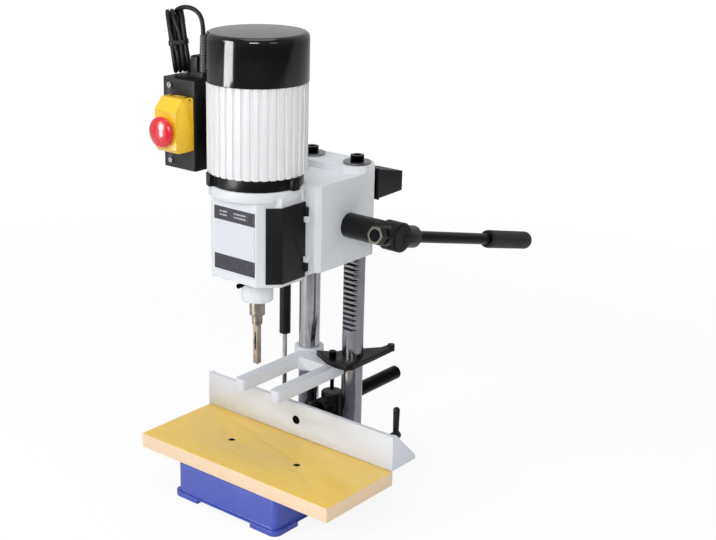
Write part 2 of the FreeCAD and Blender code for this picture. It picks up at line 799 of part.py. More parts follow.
def make_motor_flange():
    """The black ring under the motor: bearing seat, pilot and three lugs."""
    ring = rod(0, spindle_y, seat_top, ring_r, ring_top - seat_top)
    ring = join(ring, rod(0, spindle_y, seat_top - 8, 29.8, 8))
    well = tube(0, spindle_y, seat_top + 7, motor_bore_r, bearing_seat, ring_top - seat_top)
    ring = ring.cut(well)
    for angle in lug_angles:
        lug = box(lug_r - 4, lug_reach, -lug_width / 2, lug_width / 2, seat_top, ring_top)
        lug = lug.makeFillet(lug_round, outer_edges(
            lug, lambda c: c.x > lug_reach - 0.1 and abs(abs(c.y) - lug_width / 2) < 0.1))
        lug.rotate(V(0, 0, 0), Z, angle)
        lug.translate(V(0, spindle_y, 0))
        ring = join(ring, lug)
    ring = ring.cut(rod(0, spindle_y, ring_top - bearing_h - 2, bearing_r, through))
    ring = ring.cut(rod(0, spindle_y, seat_top - through / 2, shaft_r + 2, through))
    for angle in lug_angles:
        at = lug_at(angle)
        ring = ring.cut(rod(at.x, at.y, seat_top - 1, lug_bolt_r + gap, through))
        ring = ring.cut(rod(at.x, at.y, flange_screw_seat(), lug_bolt_head_r + gap, through))
    return ring


def flange_screw_seat():
    """Height on which the sunk screw heads of the flange rest."""
    return ring_top - lug_bolt_sink - lug_bolt_head_h


def make_flange_bolts():
    """Three screws that hold the flange on the head, sunk below the motor."""
    bolts = []
    for angle in lug_angles:
        at = lug_at(angle)
        bolts.append(socket_screw(at.x, at.y, flange_screw_seat(), lug_bolt_head_r, lug_bolt_head_h,
                                  lug_bolt_r, flange_screw_seat() - seat_top + lug_bolt_bite, Z))
    return group(bolts)


def make_motor_body():
    """A finned aluminium shell."""
    shell = tube(0, spindle_y, ring_top, fin_r, motor_bore_r, motor_top - ring_top)
    for k in range(fin_count):
        groove = box(fin_r - fin_depth, fin_r + 2, -fin_groove / 2, fin_groove / 2,
                     ring_top - 1, motor_top + 1)
        groove.rotate(V(0, 0, 0), Z, (k + 0.5) * 360.0 / fin_count)
        groove.translate(V(0, spindle_y, 0))
        shell = shell.cut(groove)
    return shell


def make_end_shield():
    """The plate at the motor's upper end, with the top bearing's seat."""
    low = motor_top - shield_t
    shield = rod(0, spindle_y, low, motor_bore_r, shield_t)
    shield = shield.cut(tube(0, spindle_y, low - 1, motor_bore_r - 5, bearing_seat, shield_t - 5))
    shield = shield.cut(rod(0, spindle_y, low - 1, bearing_r, bearing_h + 1))
    return shield.cut(rod(0, spindle_y, low, shaft_r + 1, shield_t + 1))


def make_bearings():
    """Two ball bearings, each drawn as one ring."""
    rings = []
    for low in (ring_top - bearing_h - 2, motor_top - shield_t):
        rings.append(tube(0, spindle_y, low, bearing_r, shaft_r + running, bearing_h))
    return group(rings)


def make_stator():
    """The wound stator, a plain ring."""
    low, high = stator_bottom, stator_top
    return tube(0, spindle_y, low, motor_bore_r, rotor_r + air_gap, high - low)


def make_cap():
    """The glossy fan cover."""
    cap = rod(0, spindle_y, motor_top, cap_r, cap_top - motor_top)
    cap = cap.makeFillet(cap_round, outer_edges(cap, lambda c: c.z > cap_top - 0.1))
    room = rod(0, spindle_y, motor_top - 1, cap_r - cap_wall, cap_top - motor_top - cap_wall + 1)
    room = room.makeFillet(cap_round - cap_wall,
                           outer_edges(room, lambda c: c.z > cap_top - cap_wall - 0.1))
    cap = cap.cut(room)
    seat = tube(0, spindle_y, motor_top, cap_r - cap_wall / 2, motor_bore_r - 3, 3)
    cap = join(cap, seat)
    for k in range(vent_count):
        slot = box(cap_r - 12, cap_r + 5, -2, 2, motor_top + 12, motor_top + 40)
        slot.rotate(V(0, 0, 0), Z, 90 + (k - (vent_count - 1) / 2) * 9)
        slot.translate(V(0, spindle_y, 0))
        cap = cap.cut(slot)
    return cap


def make_shaft():
    """The motor shaft, which is the spindle too."""
    low = chuck_top - 24
    shaft = rod(0, spindle_y, low, shaft_r, fan_bottom + fan_h - low)
    return shaft


def make_rotor():
    """The rotor core on the shaft."""
    return tube(0, spindle_y, stator_bottom, rotor_r, shaft_r, stator_top - stator_bottom)


def make_fan():
    """A hub with straight blades."""
    fan = rod(0, spindle_y, fan_bottom, 16.0, fan_h)
    for k in range(fan_blades):
        blade = box(10, fan_r, -1.2, 1.2, fan_bottom + 2, fan_bottom + fan_h)
        blade.rotate(V(0, 0, 0), Z, k * 360.0 / fan_blades)
        blade.translate(V(0, spindle_y, 0))
        fan = fan.fuse(blade)
    fan = join(fan, rod(0, spindle_y, fan_bottom, fan_r, 2))
    return fan.cut(rod(0, spindle_y, 0, shaft_r, through))


# ================================================================ chuck and tools
def make_chuck():
    """The drill chuck's body."""
    body = rod(0, spindle_y, chuck_bottom, chuck_r, chuck_top - chuck_bottom)
    body = body.makeChamfer(2.0, outer_edges(body, lambda c: c.z > chuck_top - 0.1))
    body = join(body, cone(0, spindle_y, chuck_bottom - 8, 12.0, chuck_r - 1, 8))
    body = body.cut(rod(0, spindle_y, chuck_top - 24, shaft_r, 30))
    body = body.cut(rod(0, spindle_y, chuck_bottom - 9, 9.5, 32))
    return body


def make_jaws():
    """Three jaws round the bit."""
    jaws = []
    ring = tube(0, spindle_y, chuck_bottom - jaw_drop, 9.0, bit_r, 24)
    for k in range(3):
        wedge = box(0.0, 12, -2.6, 2.6, chuck_bottom - jaw_drop, chuck_bottom + 10)
        wedge.rotate(V(0, 0, 0), Z, 90 + k * 120)
        wedge.translate(V(0, spindle_y, 0))
        jaws.append(wedge.common(ring))
    return group(jaws)


def make_bit():
    """The auger bit: shank and a flute worked out as a groove down one side."""
    high = chuck_bottom + 12
    bit = rod(0, spindle_y, chisel_tip + 4, bit_r, high - chisel_tip - 4)
    tip = cone(0, spindle_y, chisel_tip, 0.6, bit_r, 4)
    return join(bit, tip)


def make_bushing():
    """The steel bushing that holds the chisel in the nose."""
    top = head_bottom - nose_length + 34
    bushing = rod(0, spindle_y, bushing_bottom, bushing_r, top - bushing_bottom)
    bushing = join(bushing, rod(0, spindle_y, bushing_end, bushing_tip_r, bushing_bottom - bushing_end))
    bushing = bushing.makeChamfer(1.0, outer_edges(
        bushing, lambda c: abs(c.z - bushing_bottom) < 0.1 or c.z < bushing_end + 0.1))
    return bushing.cut(rod(0, spindle_y, 0, chisel_shank_r, through))


def make_chisel():
    """The square hollow chisel with a side slot for the chips."""
    h = chisel_side / 2
    top = head_bottom - nose_length + 34
    blade = box(-h, h, spindle_y - h, spindle_y + h, chisel_tip + 3, bushing_end)
    blade = join(blade, rod(0, spindle_y, bushing_end, chisel_shank_r, top - bushing_end))
    blade = blade.cut(rod(0, spindle_y, 0, bit_r + 0.2, through))
    slot = box(-1.6, 1.6, spindle_y - h - 1, spindle_y, chisel_tip + 24, bushing_end - 12)
    return blade.cut(slot)


def make_lock_screw():
    """The screw that locks the bushing, on the front of the nose."""
    under_head = nose_r + lock_screw_stand
    return socket_screw(0, spindle_y - under_head, lock_screw_z, lock_screw_head_r,
                        lock_screw_head_h, lock_screw_r, under_head - bushing_r - running, Y * -1)


# ================================================================ pinion and lever
def involute(radius, base_r):
    """The involute's polar angle at a radius."""
    a = math.acos(base_r / radius)
    return math.tan(a) - a


def make_pinion():
    """An involute gear in mesh with the rack, one tooth pointing at it."""
    base_r = pinion_r * math.cos(math.radians(pressure_angle))
    half = math.pi / 2 / pinion_teeth - backlash / 2 / pinion_r
    at_pitch = involute(pinion_r, base_r)
    start = max(base_r, pinion_root_r)
    radii = [start + (pinion_tip_r - start) * k / 4 for k in range(5)]
    right = [(r, -(half + at_pitch - involute(r, base_r))) for r in radii]
    left = [(r, -a) for r, a in reversed(right)]
    step = 2 * math.pi / pinion_teeth
    root_a = half + at_pitch
    corners = []
    for k in range(pinion_teeth):
        mid = k * step
        tooth = [(pinion_root_r, -root_a)] + right + left + [(pinion_root_r, root_a)]
        corners += [V(0, r * math.cos(mid + a), r * math.sin(mid + a)) for r, a in tooth]
    face = Part.Face(Part.makePolygon(corners + corners[:1]))
    gear = face.extrude(V(pinion_width, 0, 0))
    gear.translate(V(pinion_x - pinion_width / 2, pinion_y, pinion_z))
    return gear.cut(rod(0, pinion_y, pinion_z, pinion_shaft_r, through, X))


def make_pinion_shaft():
    """The cross shaft."""
    start = bush_left + 1
    return rod(start, pinion_y, pinion_z, pinion_shaft_r, hub_mid - start - lever_r - 4, X)


def make_bushes():
    """Bronze bushes each side of the pinion."""
    left = pinion_x - pinion_width / 2 - 2
    right = pinion_x + pinion_width / 2 + 2
    return group([tube(bush_left, pinion_y, pinion_z, bush_r, pinion_shaft_r + running,
                       left - bush_left, X),
                  tube(right, pinion_y, pinion_z, bush_r, pinion_shaft_r + running,
                       head_half - right, X)])


def lever_direction():
    """The way the lever points at rest: back and a little down."""
    a = math.radians(lever_angle)
    return V(0, math.cos(a), math.sin(a))


def lever_point(distance):
    """A point on the lever's axis."""
    return V(hub_mid, pinion_y, pinion_z) + lever_direction() * distance


def make_hub():
    """The black sleeve on the shaft, with a cross-drilled head and two collars."""
    sleeve = rod(head_half + gap, pinion_y, pinion_z, hub_r, hub_end - head_half - gap, X)
    head = rod(hub_end - 1, pinion_y, pinion_z, hub_head_r, hub_head_length, X)
    head = head.makeChamfer(2.0, head.Edges)
    a, b = lever_point(0), lever_point(-front_collar)
    back = Part.makeCylinder(lever_collar_r, lever_collar_end, a, lever_direction())
    front = Part.makeCylinder(lever_collar_r - 2, front_collar, b, lever_direction())
    hub = join(sleeve, head, back, front)
    hub = hub.cut(rod(0, pinion_y, pinion_z, pinion_shaft_r, hub_mid - lever_r - 4, X))
    start = -2 * front_collar
    return hub.cut(Part.makeCylinder(lever_r, 2 * lever_collar_end - start, lever_point(start),
                                     lever_direction()))


def make_lever_rod():
    """The lever's round bar."""
    start = -front_collar - nut_thick
    bar = Part.makeCylinder(lever_r, grip_end - 6 - start, lever_point(start), lever_direction())
    return bar


def make_lever_nut():
    """The bright nut on the lever's front end."""
    at = lever_point(-front_collar - nut_thick)
    nut = hexagon(at.x, at.y, at.z, nut_flats, nut_thick, lever_direction())
    start = -2 * (front_collar + nut_thick)
    return nut.cut(Part.makeCylinder(lever_r, -start, lever_point(start), lever_direction()))


def make_grip():
    """The rubber grip with a rounded nub."""
    length = grip_end - grip_start
    grip = Part.makeCylinder(grip_r, length, lever_point(grip_start), lever_direction())
    grip = grip.makeFillet(3.0, [e for e in grip.Edges if e.Curve.TypeId == "Part::GeomCircle"])
    nub = Part.makeCylinder(grip_r * 0.55, nub_end - grip_end + 4, lever_point(grip_end - 4),
                            lever_direction())
    grip = join(grip, nub)
    return grip.cut(Part.makeCylinder(lever_r, grip_end - 6, lever_point(0), lever_direction()))


# ================================================================ gas spring
def make_spring_body():
    """The gas spring's cylinder, hung on the head's left side."""
    top = spring_body_top
    body = rod(spring_x, spring_y, spring_body_bottom, spring_body_r, top - spring_body_bottom)
    bore = rod(spring_x, spring_y, spring_body_bottom + 8, spring_body_r - spring_wall,
               top - spring_body_bottom - 14)
    body = body.cut(bore)
    body = body.cut(rod(spring_x, spring_y, spring_body_bottom - 1, spring_rod_r + running, 12))
    neck = rod(spring_x, spring_y, top, 4.5, spring_head_z - top)
    eye = rod(spring_x - spring_eye_w / 2, spring_y, spring_head_z, spring_eye_r, spring_eye_w, X)
    body = join(body, neck, eye)
    return body.cut(rod(spring_x - 20, spring_y, spring_head_z, spring_pin_r, 40, X))


def make_spring_rod():
    """The rod and piston, standing on the base."""
    bar = rod(spring_x, spring_y, spring_foot_z, spring_rod_r, spring_body_bottom + 18 - spring_foot_z)
    piston = rod(spring_x, spring_y, spring_body_bottom + 10,
                 spring_body_r - spring_wall - running, 8)
    eye = rod(spring_x - spring_eye_w / 2, spring_y, spring_foot_z, spring_eye_r, spring_eye_w, X)
    shape = join(bar, piston, eye)
    return shape.cut(rod(spring_x - 20, spring_y, spring_foot_z, spring_pin_r, 40, X))


# ================================================================ switch
def make_switch_box():
    """The switch housing on the motor's left."""
    shell = box(box_left, box_right, box_front, box_back, box_bottom, box_top)
    uprights = [e for e in shell.Edges if abs(e.Vertexes[0].Z - e.Vertexes[1].Z) > 20]
    shell = shell.makeFillet(3.0, uprights)
    w = box_wall
    room = box(box_left + w, box_right - w, box_front + w, box_back - w, box_bottom + w, box_top - w)
    shell = shell.cut(room)
    for z in (stop_z, start_z):
        shell = shell.cut(rod(button_x, box_front - 1, z, button_r + running, box_wall + 2, Y))
    ears = [box(x0, x0 + 3, box_front - 10, box_front + 1, lid_hinge_z - 4, lid_hinge_z + 3.5)
            for x0 in (lid_left + 5, lid_right - 8)]
    shell = join(shell, *ears)
    pins = [rod(x0, lid_hinge_y, lid_hinge_z, lid_pin_r, 8, X) for x0 in (lid_left, lid_right - 8)]
    shell = join(shell, *pins)
    for x, z in switch_screw_places():
        shell = shell.cut(rod(x, box_front - 1, z, box_screw_r, box_screw_end, Y))
    return shell


def switch_screw_places():
    """Two screws on the front of the housing, under and over the lid."""
    x = box_left + box_screw_side
    return ((x, box_bottom + box_screw_end), (x, box_top - box_screw_end))


def make_switch_screws():
    """The two front screws."""
    return group([socket_screw(x, box_front, z, 3.8, 2.2, 2.0, 8.0, Y * -1)
                  for x, z in switch_screw_places()])


def make_bracket():
    """The plate and saddle that carry the switch on the motor."""
    x1 = box_right + bracket_reach
    x0 = x1 - bracket_t
    y0, y1 = box_back - saddle_half, box_back + saddle_half
    plate = box(box_left + 4, x1, box_back, bracket_y, box_bottom + bracket_foot, box_top - bracket_head)
    arm = box(x0, x1, y0, bracket_y, saddle_low, saddle_high)
    pad = box(x0, saddle_bite - fin_r, y0, y1, saddle_low, saddle_high)
    bracket = join(plate, arm, pad)
    return bracket.cut(rod(0, spindle_y, 0, fin_r, through))


def make_lid():
    """The hinged yellow cover: a shell open towards the housing."""
    y0, y1 = lid_front, box_front - gap
    outline = [(y1, lid_bottom), (y1, lid_top - 2), (y1 - 2, lid_top), (y0 + 14, lid_top),
               (y0, lid_top - 16),
               (y0, lid_bottom + 6), (y0 + 6, lid_bottom)]
    shell = profile_x(outline, lid_left, lid_right)
    w = lid_wall
    room = profile_x([(y1 + 1, lid_bottom + w), (y1 + 1, lid_top - w), (y0 + 14.8, lid_top - w),
                      (y0 + w, lid_top - 16.8), (y0 + w, lid_bottom + 6.8), (y0 + 6.8, lid_bottom + w)],
                     lid_left + w, lid_right - w)
    shell = shell.cut(room)
    for x0 in (lid_left + 5, lid_right - 8):
        shell = shell.cut(box(x0 - gap, x0 + 3 + gap, lid_hinge_y - 6, y1 + 2, lid_hinge_z - 12, lid_top + 2))
    cheeks = [box(x0, x1, lid_hinge_y - 3.5, y1 - 3, lid_hinge_z - 3.5, lid_top)
              for x0, x1 in ((lid_left, lid_left + 4.5), (lid_right - 4.5, lid_right))]
    shell = join(shell, *cheeks)
    shell = shell.cut(rod(lid_left - 1, lid_hinge_y, lid_hinge_z, lid_pin_r + running,
                          lid_right - lid_left + 2, X))
    return shell.cut(rod(button_x, lid_front - 1, stop_z, mushroom_stem_r + running, 10, Y))


def make_mushroom():
    """The red emergency knob in the lid."""
    back = lid_front - stop_travel - 0.5
    head = rod(button_x, back - 6, stop_z, mushroom_r, 6, Y)
    dome = cone(button_x, back - 13, stop_z, mushroom_r * 0.6, mushroom_r, 7, Y)
    stem_end = box_front - button_stand - gap
    stem = rod(button_x, back, stop_z, mushroom_stem_r, stem_end - back, Y)
    ring = rod(button_x, lid_front + lid_wall + gap, stop_z, mushroom_stem_r + 2, 2, Y)
    return join(head, dome, stem, ring)


def push_button(z, stand, radius):
    """A button through the housing's wall, with a retaining flange inside."""
    body = rod(button_x, box_front - stand, z, radius, stand + box_wall + 4.5, Y)
    flange = rod(button_x, box_front + box_wall + gap, z, radius + 1.6, 2.0, Y)
    body = body.makeChamfer(0.8, outer_edges(body, lambda c: c.y < box_front - stand + 0.1))
    return join(body, flange)


# ================================================================ mains lead
def make_gland():
    """The cord anchor on top of the switch housing, with its tapered relief."""
    x0 = gland_x - gland_left
    y0 = gland_y - gland_depth / 2
    base = box(x0, gland_x + gland_right, y0, y0 + gland_depth, box_top, box_top + gland_base_h)
    base = base.makeFillet(2.0, outer_edges(base, lambda c: abs(c.z - box_top - gland_base_h / 2) < 0.1))
    block = box(x0 + 1, x0 + 1 + anchor_width, y0 + 1, y0 + gland_depth - 1, box_top, box_top + anchor_h)
    block = block.makeFillet(3.0, outer_edges(block, lambda c: c.z > box_top + anchor_h - 0.1))
    taper = cone(gland_x, gland_y, box_top + gland_base_h, relief_low_r, relief_top_r, relief_h)
    gland = join(base, block, taper)
    return gland.cut(rod(gland_x, gland_y, box_top - 1, cord_r, gland_base_h + relief_h + 2))


def rounded_route(points):
    """Straight runs joined by tangent arcs, and the arcs' radii."""
    edges, radii = [], []
    start = points[0]
    for before, corner, after in zip(points, points[1:], points[2:]):
        into = (corner - before).normalize()
        out = (after - corner).normalize()
        half = into.getAngle(out) / 2
        run = min((corner - before).Length, (after - corner).Length)
        cut = 0.45 * run
        first = corner - into * cut
        last = corner + out * cut
        inwards = (out - into).normalize()
        radius = cut / math.tan(half)
        centre = corner + inwards * (radius / math.cos(half))
        middle = centre - inwards * radius
        edges.append(Part.LineSegment(start, first).toShape())
        edges.append(Part.Arc(first, middle, last).toShape())
        radii.append(radius)
        start = last
    edges.append(Part.LineSegment(start, points[-1]).toShape())
    return Part.Wire(edges), radii


def swept_cord(points):
    """A round tube along a route, checked by its volume."""
    wire, radii = rounded_route(points)
    along = (points[1] - points[0]).normalize()
    ring = Part.Wire(Part.makeCircle(cord_r, points[0], along))
    solid = wire.makePipeShell([ring], True, False)
    expect = math.pi * cord_r ** 2 * wire.Length
    print("cord %.1f mm, radii %s, volume ratio %.4f"
          % (wire.Length, [round(r, 1) for r in radii], solid.Volume / expect))
    return solid


def hank_frame():
    """The hank's placement: turned on its foot, then leaned to the left."""
    turn = FreeCAD.Rotation(Z, hank_turned)
    lean = FreeCAD.Rotation(Y, -hank_lean)
    return FreeCAD.Placement(V(hank_x, hank_y, box_top + gap), lean.multiply(turn))


def make_hank():
    """The tied hank as one closed solid: an upright oval slab with a flat foot."""
    r = hank_width / 2
    slab = box(-hank_thick / 2, hank_thick / 2, -r, r, r - 10, hank_height - r)
    for z in (r - 10, hank_height - r):
        slab = slab.fuse(rod(-hank_thick / 2, 0, z, r, hank_thick, X))
    slab = slab.removeSplitter()
    slab.Placement = hank_frame()
    floor = box(hank_x - through, hank_x + through, hank_y - through, hank_y + through,
                box_top - through, box_top + gap)
    return slab.cut(floor)


def make_tie():
    """The band round the middle of the hank."""
    w, t = hank_width / 2, hank_thick / 2
    mid = hank_height * 0.45
    outer = box(-t - 1.5, t + 1.5, -w - 1.5, w + 1.5, mid, mid + tie_width)
    outer = outer.cut(box(-t, t, -w, w, mid - 1, mid + tie_width + 1))
    outer.Placement = hank_frame()
    return outer


def make_plug():
    """The plug with its tapered strain relief and two blades."""
    body = box(plug_x - 12, plug_x + 12, plug_y - 11, plug_y + 11, plug_top - plug_body, plug_top)
    body = body.makeFillet(5.0, [e for e in body.Edges if abs(e.Vertexes[0].Z - e.Vertexes[-1].Z) > 10])
    body = body.makeChamfer(3.0, outer_edges(body, lambda c: c.z > plug_top - 0.1))
    taper = cone(plug_x, plug_y, plug_top, 7.0, cord_r + 1.2, plug_relief)
    plug = join(body, taper)
    low = plug_top - plug_body
    for sx in (-1, 1):
        plug = join(plug, box(plug_x + sx * 6.3 - 0.75, plug_x + sx * 6.3 + 0.75,
                              plug_y - 3.2, plug_y + 3.2, low - plug_blade, low))
    return join(plug, rod(plug_x, plug_y + 6.5, low - plug_blade - 1, 2.3, plug_blade + 1))


relief_top = box_top + gland_base_h + relief_h
lead_route = [V(gland_x, gland_y, relief_top), V(-88, -86, 702), V(-101.5, -87, 715),
              V(-121.8, -87.5, 717), V(-140.8, -84.5, 710)]
tail_route = [V(-155.8, -65.3, 687), V(-161.8, -56.8, 672.7), V(-156.8, -53.5, 655), V(plug_x, plug_y, 642),
              V(plug_x, plug_y, plug_top + plug_relief)]


def main():
    """Build every sub-part and write one STEP file for each."""
    os.makedirs("parts", exist_ok=True)
    washers, bolts = make_column_stops()
    hank = make_hank()
    parts = {
        "base_casting": make_base(),
        "table_board": make_table(),
        "table_screws": make_table_screws(),
        "left_column": make_left_column(),
        "rack_column": make_rack_column(),
        "column_stop_washers": washers,
        "column_stop_bolts": bolts,
        "bar_post": make_bar_post(),
        "gas_spring_rod": make_spring_rod(),
        "fence_plate": make_fence_plate(),
        "fence_bar": make_fence_bar(),
        "fence_bolt": make_fence_bolt(),
        "bar_clamp_lever": make_bar_clamp(),
        "fence_stop_lever": make_stop_lever(),
        "holddown_fork": make_fork(),
        "holddown_plate": make_holddown_plate(),
        "holddown_bolt": make_holddown_bolt(),
        "holddown_nut": make_holddown_nut(),
        "head_casting": make_head(),
        "chuck_door": make_door(),
        "door_hinge_pins": make_hinge_pins(),
        "label_plate": make_label(),
        "rear_cover": make_rear_cover(),
        "motor_flange": make_motor_flange(),
        "motor_flange_bolts": make_flange_bolts(),
        "motor_body": make_motor_body(),
        "motor_end_shield": make_end_shield(),
        "shaft_bearings": make_bearings(),
        "motor_stator": make_stator(),
        "motor_cap": make_cap(),
        "motor_shaft": make_shaft(),
        "rotor_core": make_rotor(),
        "cooling_fan": make_fan(),
        "chuck_body": make_chuck(),
        "chuck_jaws": make_jaws(),
        "auger_bit": make_bit(),
        "chisel_bushing": make_bushing(),
        "hollow_chisel": make_chisel(),
        "chisel_lock_screw": make_lock_screw(),
        "pinion_gear": make_pinion(),
        "pinion_shaft": make_pinion_shaft(),
        "pinion_bushes": make_bushes(),
        "feed_hub": make_hub(),
        "lever_rod": make_lever_rod(),
        "lever_nut": make_lever_nut(),
        "lever_grip": make_grip(),
        "gas_spring_body": make_spring_body(),
        "switch_box": make_switch_box(),
        "switch_screws": make_switch_screws(),
        "switch_bracket": make_bracket(),
        "switch_lid": make_lid(),
        "stop_mushroom": make_mushroom(),
        "stop_button": push_button(stop_z, button_stand, button_r),
        "start_button": push_button(start_z, button_stand - 3, button_r),
        "cable_gland": make_gland(),
        "cord_lead": swept_cord(lead_route).cut(hank),
        "cord_hank": hank,
        "cord_tie": make_tie(),
        "cord_tail": swept_cord(tail_route).cut(hank),
        "mains_plug": make_plug(),
    }
    for name, shape in parts.items():
        solids = len(shape.Solids)
        if not shape.isValid() or solids == 0:
            print("CHECK", name, "valid", shape.isValid(), "solids", solids)
        shape.exportStep("parts/%s.step" % name)
    print(len(parts), "nodes")


main()
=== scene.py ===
# %% [markdown]
# # A benchtop mortiser, dressed for its portrait
# The machine's iron was drawn elsewhere, and arrives here as a frame of solids in
# metres, each already in its place. This notebook gives every one of them its finish,
# and makes anew the pieces whose charm is in their surface: the cord, the mushroom
# button, the rubber grip, the spiral of the auger and the rounded edges of castings.

# %% Load the frame
import json
import math
import bmesh
import bpy
import numpy as np
from mathutils import Matrix, Vector

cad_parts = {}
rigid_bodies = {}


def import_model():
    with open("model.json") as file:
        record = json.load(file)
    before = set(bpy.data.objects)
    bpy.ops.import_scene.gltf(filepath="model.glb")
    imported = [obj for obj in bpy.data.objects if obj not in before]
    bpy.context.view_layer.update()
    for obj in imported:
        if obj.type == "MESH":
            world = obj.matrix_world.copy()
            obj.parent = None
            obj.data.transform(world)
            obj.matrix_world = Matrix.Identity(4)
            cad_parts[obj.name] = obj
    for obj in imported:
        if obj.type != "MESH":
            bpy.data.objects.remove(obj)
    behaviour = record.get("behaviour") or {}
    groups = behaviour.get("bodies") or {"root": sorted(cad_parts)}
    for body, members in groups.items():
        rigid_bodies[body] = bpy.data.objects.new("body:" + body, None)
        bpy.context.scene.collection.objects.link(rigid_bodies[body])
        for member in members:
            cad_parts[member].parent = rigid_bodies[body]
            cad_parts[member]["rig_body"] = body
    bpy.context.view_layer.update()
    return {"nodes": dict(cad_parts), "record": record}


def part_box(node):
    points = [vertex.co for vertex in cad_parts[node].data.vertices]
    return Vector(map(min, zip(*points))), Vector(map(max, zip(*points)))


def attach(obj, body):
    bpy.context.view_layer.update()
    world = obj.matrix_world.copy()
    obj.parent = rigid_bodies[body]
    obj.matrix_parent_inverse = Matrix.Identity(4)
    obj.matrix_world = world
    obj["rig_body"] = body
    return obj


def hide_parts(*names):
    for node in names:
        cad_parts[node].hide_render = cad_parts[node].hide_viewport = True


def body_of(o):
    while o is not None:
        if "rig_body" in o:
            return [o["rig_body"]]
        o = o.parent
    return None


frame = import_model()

MM = 0.001

# %% [markdown]
# ## The camera
# A camera is a point and three directions. The viewer stands to the right of the
# machine and looks down a little, so the camera is turned by an azimuth, tipped by a
# pitch and leans by a hair of roll. The machine stands left of the picture's middle,
# which is a sideways shift of the lens and not another turn of the camera.

# %% Camera
picture_width = 716
focal_pixels = 1367.56
optical_centre_x = 270.64
sensor_width = 36.0
azimuth = math.radians(41.209)
pitch = math.radians(18.368)
roll = math.radians(0.25)
camera_at = Vector((1.20912, -1.42625, 0.96346))
farthest_seen = 20

forward = Vector((-math.sin(azimuth) * math.cos(pitch),
                  math.cos(azimuth) * math.cos(pitch), -math.sin(pitch)))
level_right = Vector((math.cos(azimuth), math.sin(azimuth), 0))
level_up = level_right.cross(forward)
right = level_right * math.cos(roll) + level_up * math.sin(roll)
up = right.cross(forward)
camera = bpy.data.objects.new("camera", bpy.data.cameras.new("camera"))
bpy.context.scene.collection.objects.link(camera)
camera.matrix_world = Matrix.Translation(camera_at) @ Matrix(
    (right, up, -forward)).transposed().to_4x4()
camera.data.lens = focal_pixels * sensor_width / picture_width
camera.data.sensor_width = sensor_width
camera.data.shift_x = (picture_width / 2 - optical_centre_x) / picture_width
camera.data.clip_end = farthest_seen
bpy.context.scene.camera = camera
print("lens", round(camera.data.lens, 2), "shift", round(camera.data.shift_x, 4))

# %% [markdown]
# ## The mains cord
# A cord is one long thing of a fixed length, so it is one curve: out of its anchor,
# over into the hank, round and round, and down into the plug. The hank could be drawn
# as seven loops, but a real one is a single strand. Each turn keeps to a slot of its
# own, and hands over to the next slot at a different place round the loop, so that
# the strand never runs through itself.

# %% Points of the cord
cord_radius = 3.1 * MM
lead_route = [(-88, -86, 681), (-88, -86, 702), (-101.5, -87, 714.6), (-121.8, -87.5, 716.4),
              (-140.8, -84.5, 710)]
tail_route = [(-150.3, -61, 689), (-158.8, -55.5, 673.5), (-156.8, -53.5, 655), (-148.8, -53.5, 642),
              (-148.8, -53.5, 628)]
hank_base = np.array([-130.8, -83.0, 622.3])
hank_lean = math.radians(10)
hank_turned = math.radians(45)
strand_pitch = 6.3
outer_bend = 25.0
inner_bend = outer_bend - strand_pitch
low_bend_z = 29.4
high_bend_z = 62.8
points_per_turn = 20
first_hand_over = 0.86
hand_over_step = 0.11
hand_over_length = 0.14
last_stretch = 0.05

# Each slot is the size of its bend, and its layer counted in strands from the hank's middle.
slots = [(outer_bend, 0.5), (outer_bend, -0.5), (outer_bend, -1.5), (inner_bend, -1.5),
         (inner_bend, -0.5), (inner_bend, 0.5), (inner_bend, 1.5), (outer_bend, 1.5)]


def hank_place(local):
    """Rows of (thickness, width, height) turned about Z, leaned about Y and set on the foot."""
    turn = np.array([[math.cos(hank_turned), -math.sin(hank_turned), 0],
                     [math.sin(hank_turned), math.cos(hank_turned), 0], [0, 0, 1]])
    lean = np.array([[math.cos(hank_lean), 0, -math.sin(hank_lean)], [0, 1, 0],
                     [math.sin(hank_lean), 0, math.cos(hank_lean)]])
    return hank_base + np.asarray(local) @ (lean @ turn).T


def round_the_loop(t, bend):
    """A long loop with straight flanks: t from 0 to 1 starts at the top and goes over to +y."""
    flank = high_bend_z - low_bend_z
    quarter = math.pi / 2 * outer_bend
    ends = np.cumsum([0, quarter, flank, 2 * quarter, flank, quarter])
    s = t * ends[-1]
    part = np.clip(np.searchsorted(ends, s, side="right") - 1, 0, 4)
    along = s - ends[part]
    angle = along / outer_bend + np.select([part == 2, part == 4], [math.pi / 2, 1.5 * math.pi])
    y = np.select([part == 1, part == 3], [bend, -bend], bend * np.sin(angle))
    arc_z = np.where(part == 2, low_bend_z, high_bend_z) + bend * np.cos(angle)
    z = np.select([part == 1, part == 3], [high_bend_z - along, low_bend_z + along], arc_z)
    return y, z


def hank_turns():
    """Every turn sits in its slot, and slides to the next one around its own hand-over."""
    rows = []
    for k in range(len(slots) - 1):
        t = np.arange(points_per_turn) / points_per_turn
        hand_over = first_hand_over - hand_over_step * k
        share = np.clip((t - hand_over) / hand_over_length + 0.5, 0, 1)
        share = share * share * (3 - 2 * share)
        bend = slots[k][0] * (1 - share) + slots[k + 1][0] * share
        layer = slots[k][1] * (1 - share) + slots[k + 1][1] * share
        y, z = round_the_loop(t, bend)
        rows.append(np.column_stack([layer * strand_pitch, y, z]))
    t = np.array([0.0, last_stretch])
    y, z = round_the_loop(t, outer_bend + 0 * t)
    rows.append(np.column_stack([0 * t + slots[-1][1] * strand_pitch, y, z]))
    return hank_place(np.vstack(rows)[1:])


cord_points = np.vstack([lead_route, hank_turns(), tail_route]) * MM

# %% Cord curve
cord_curve = bpy.data.curves.new("mains_cord", "CURVE")
cord_curve.dimensions = "3D"
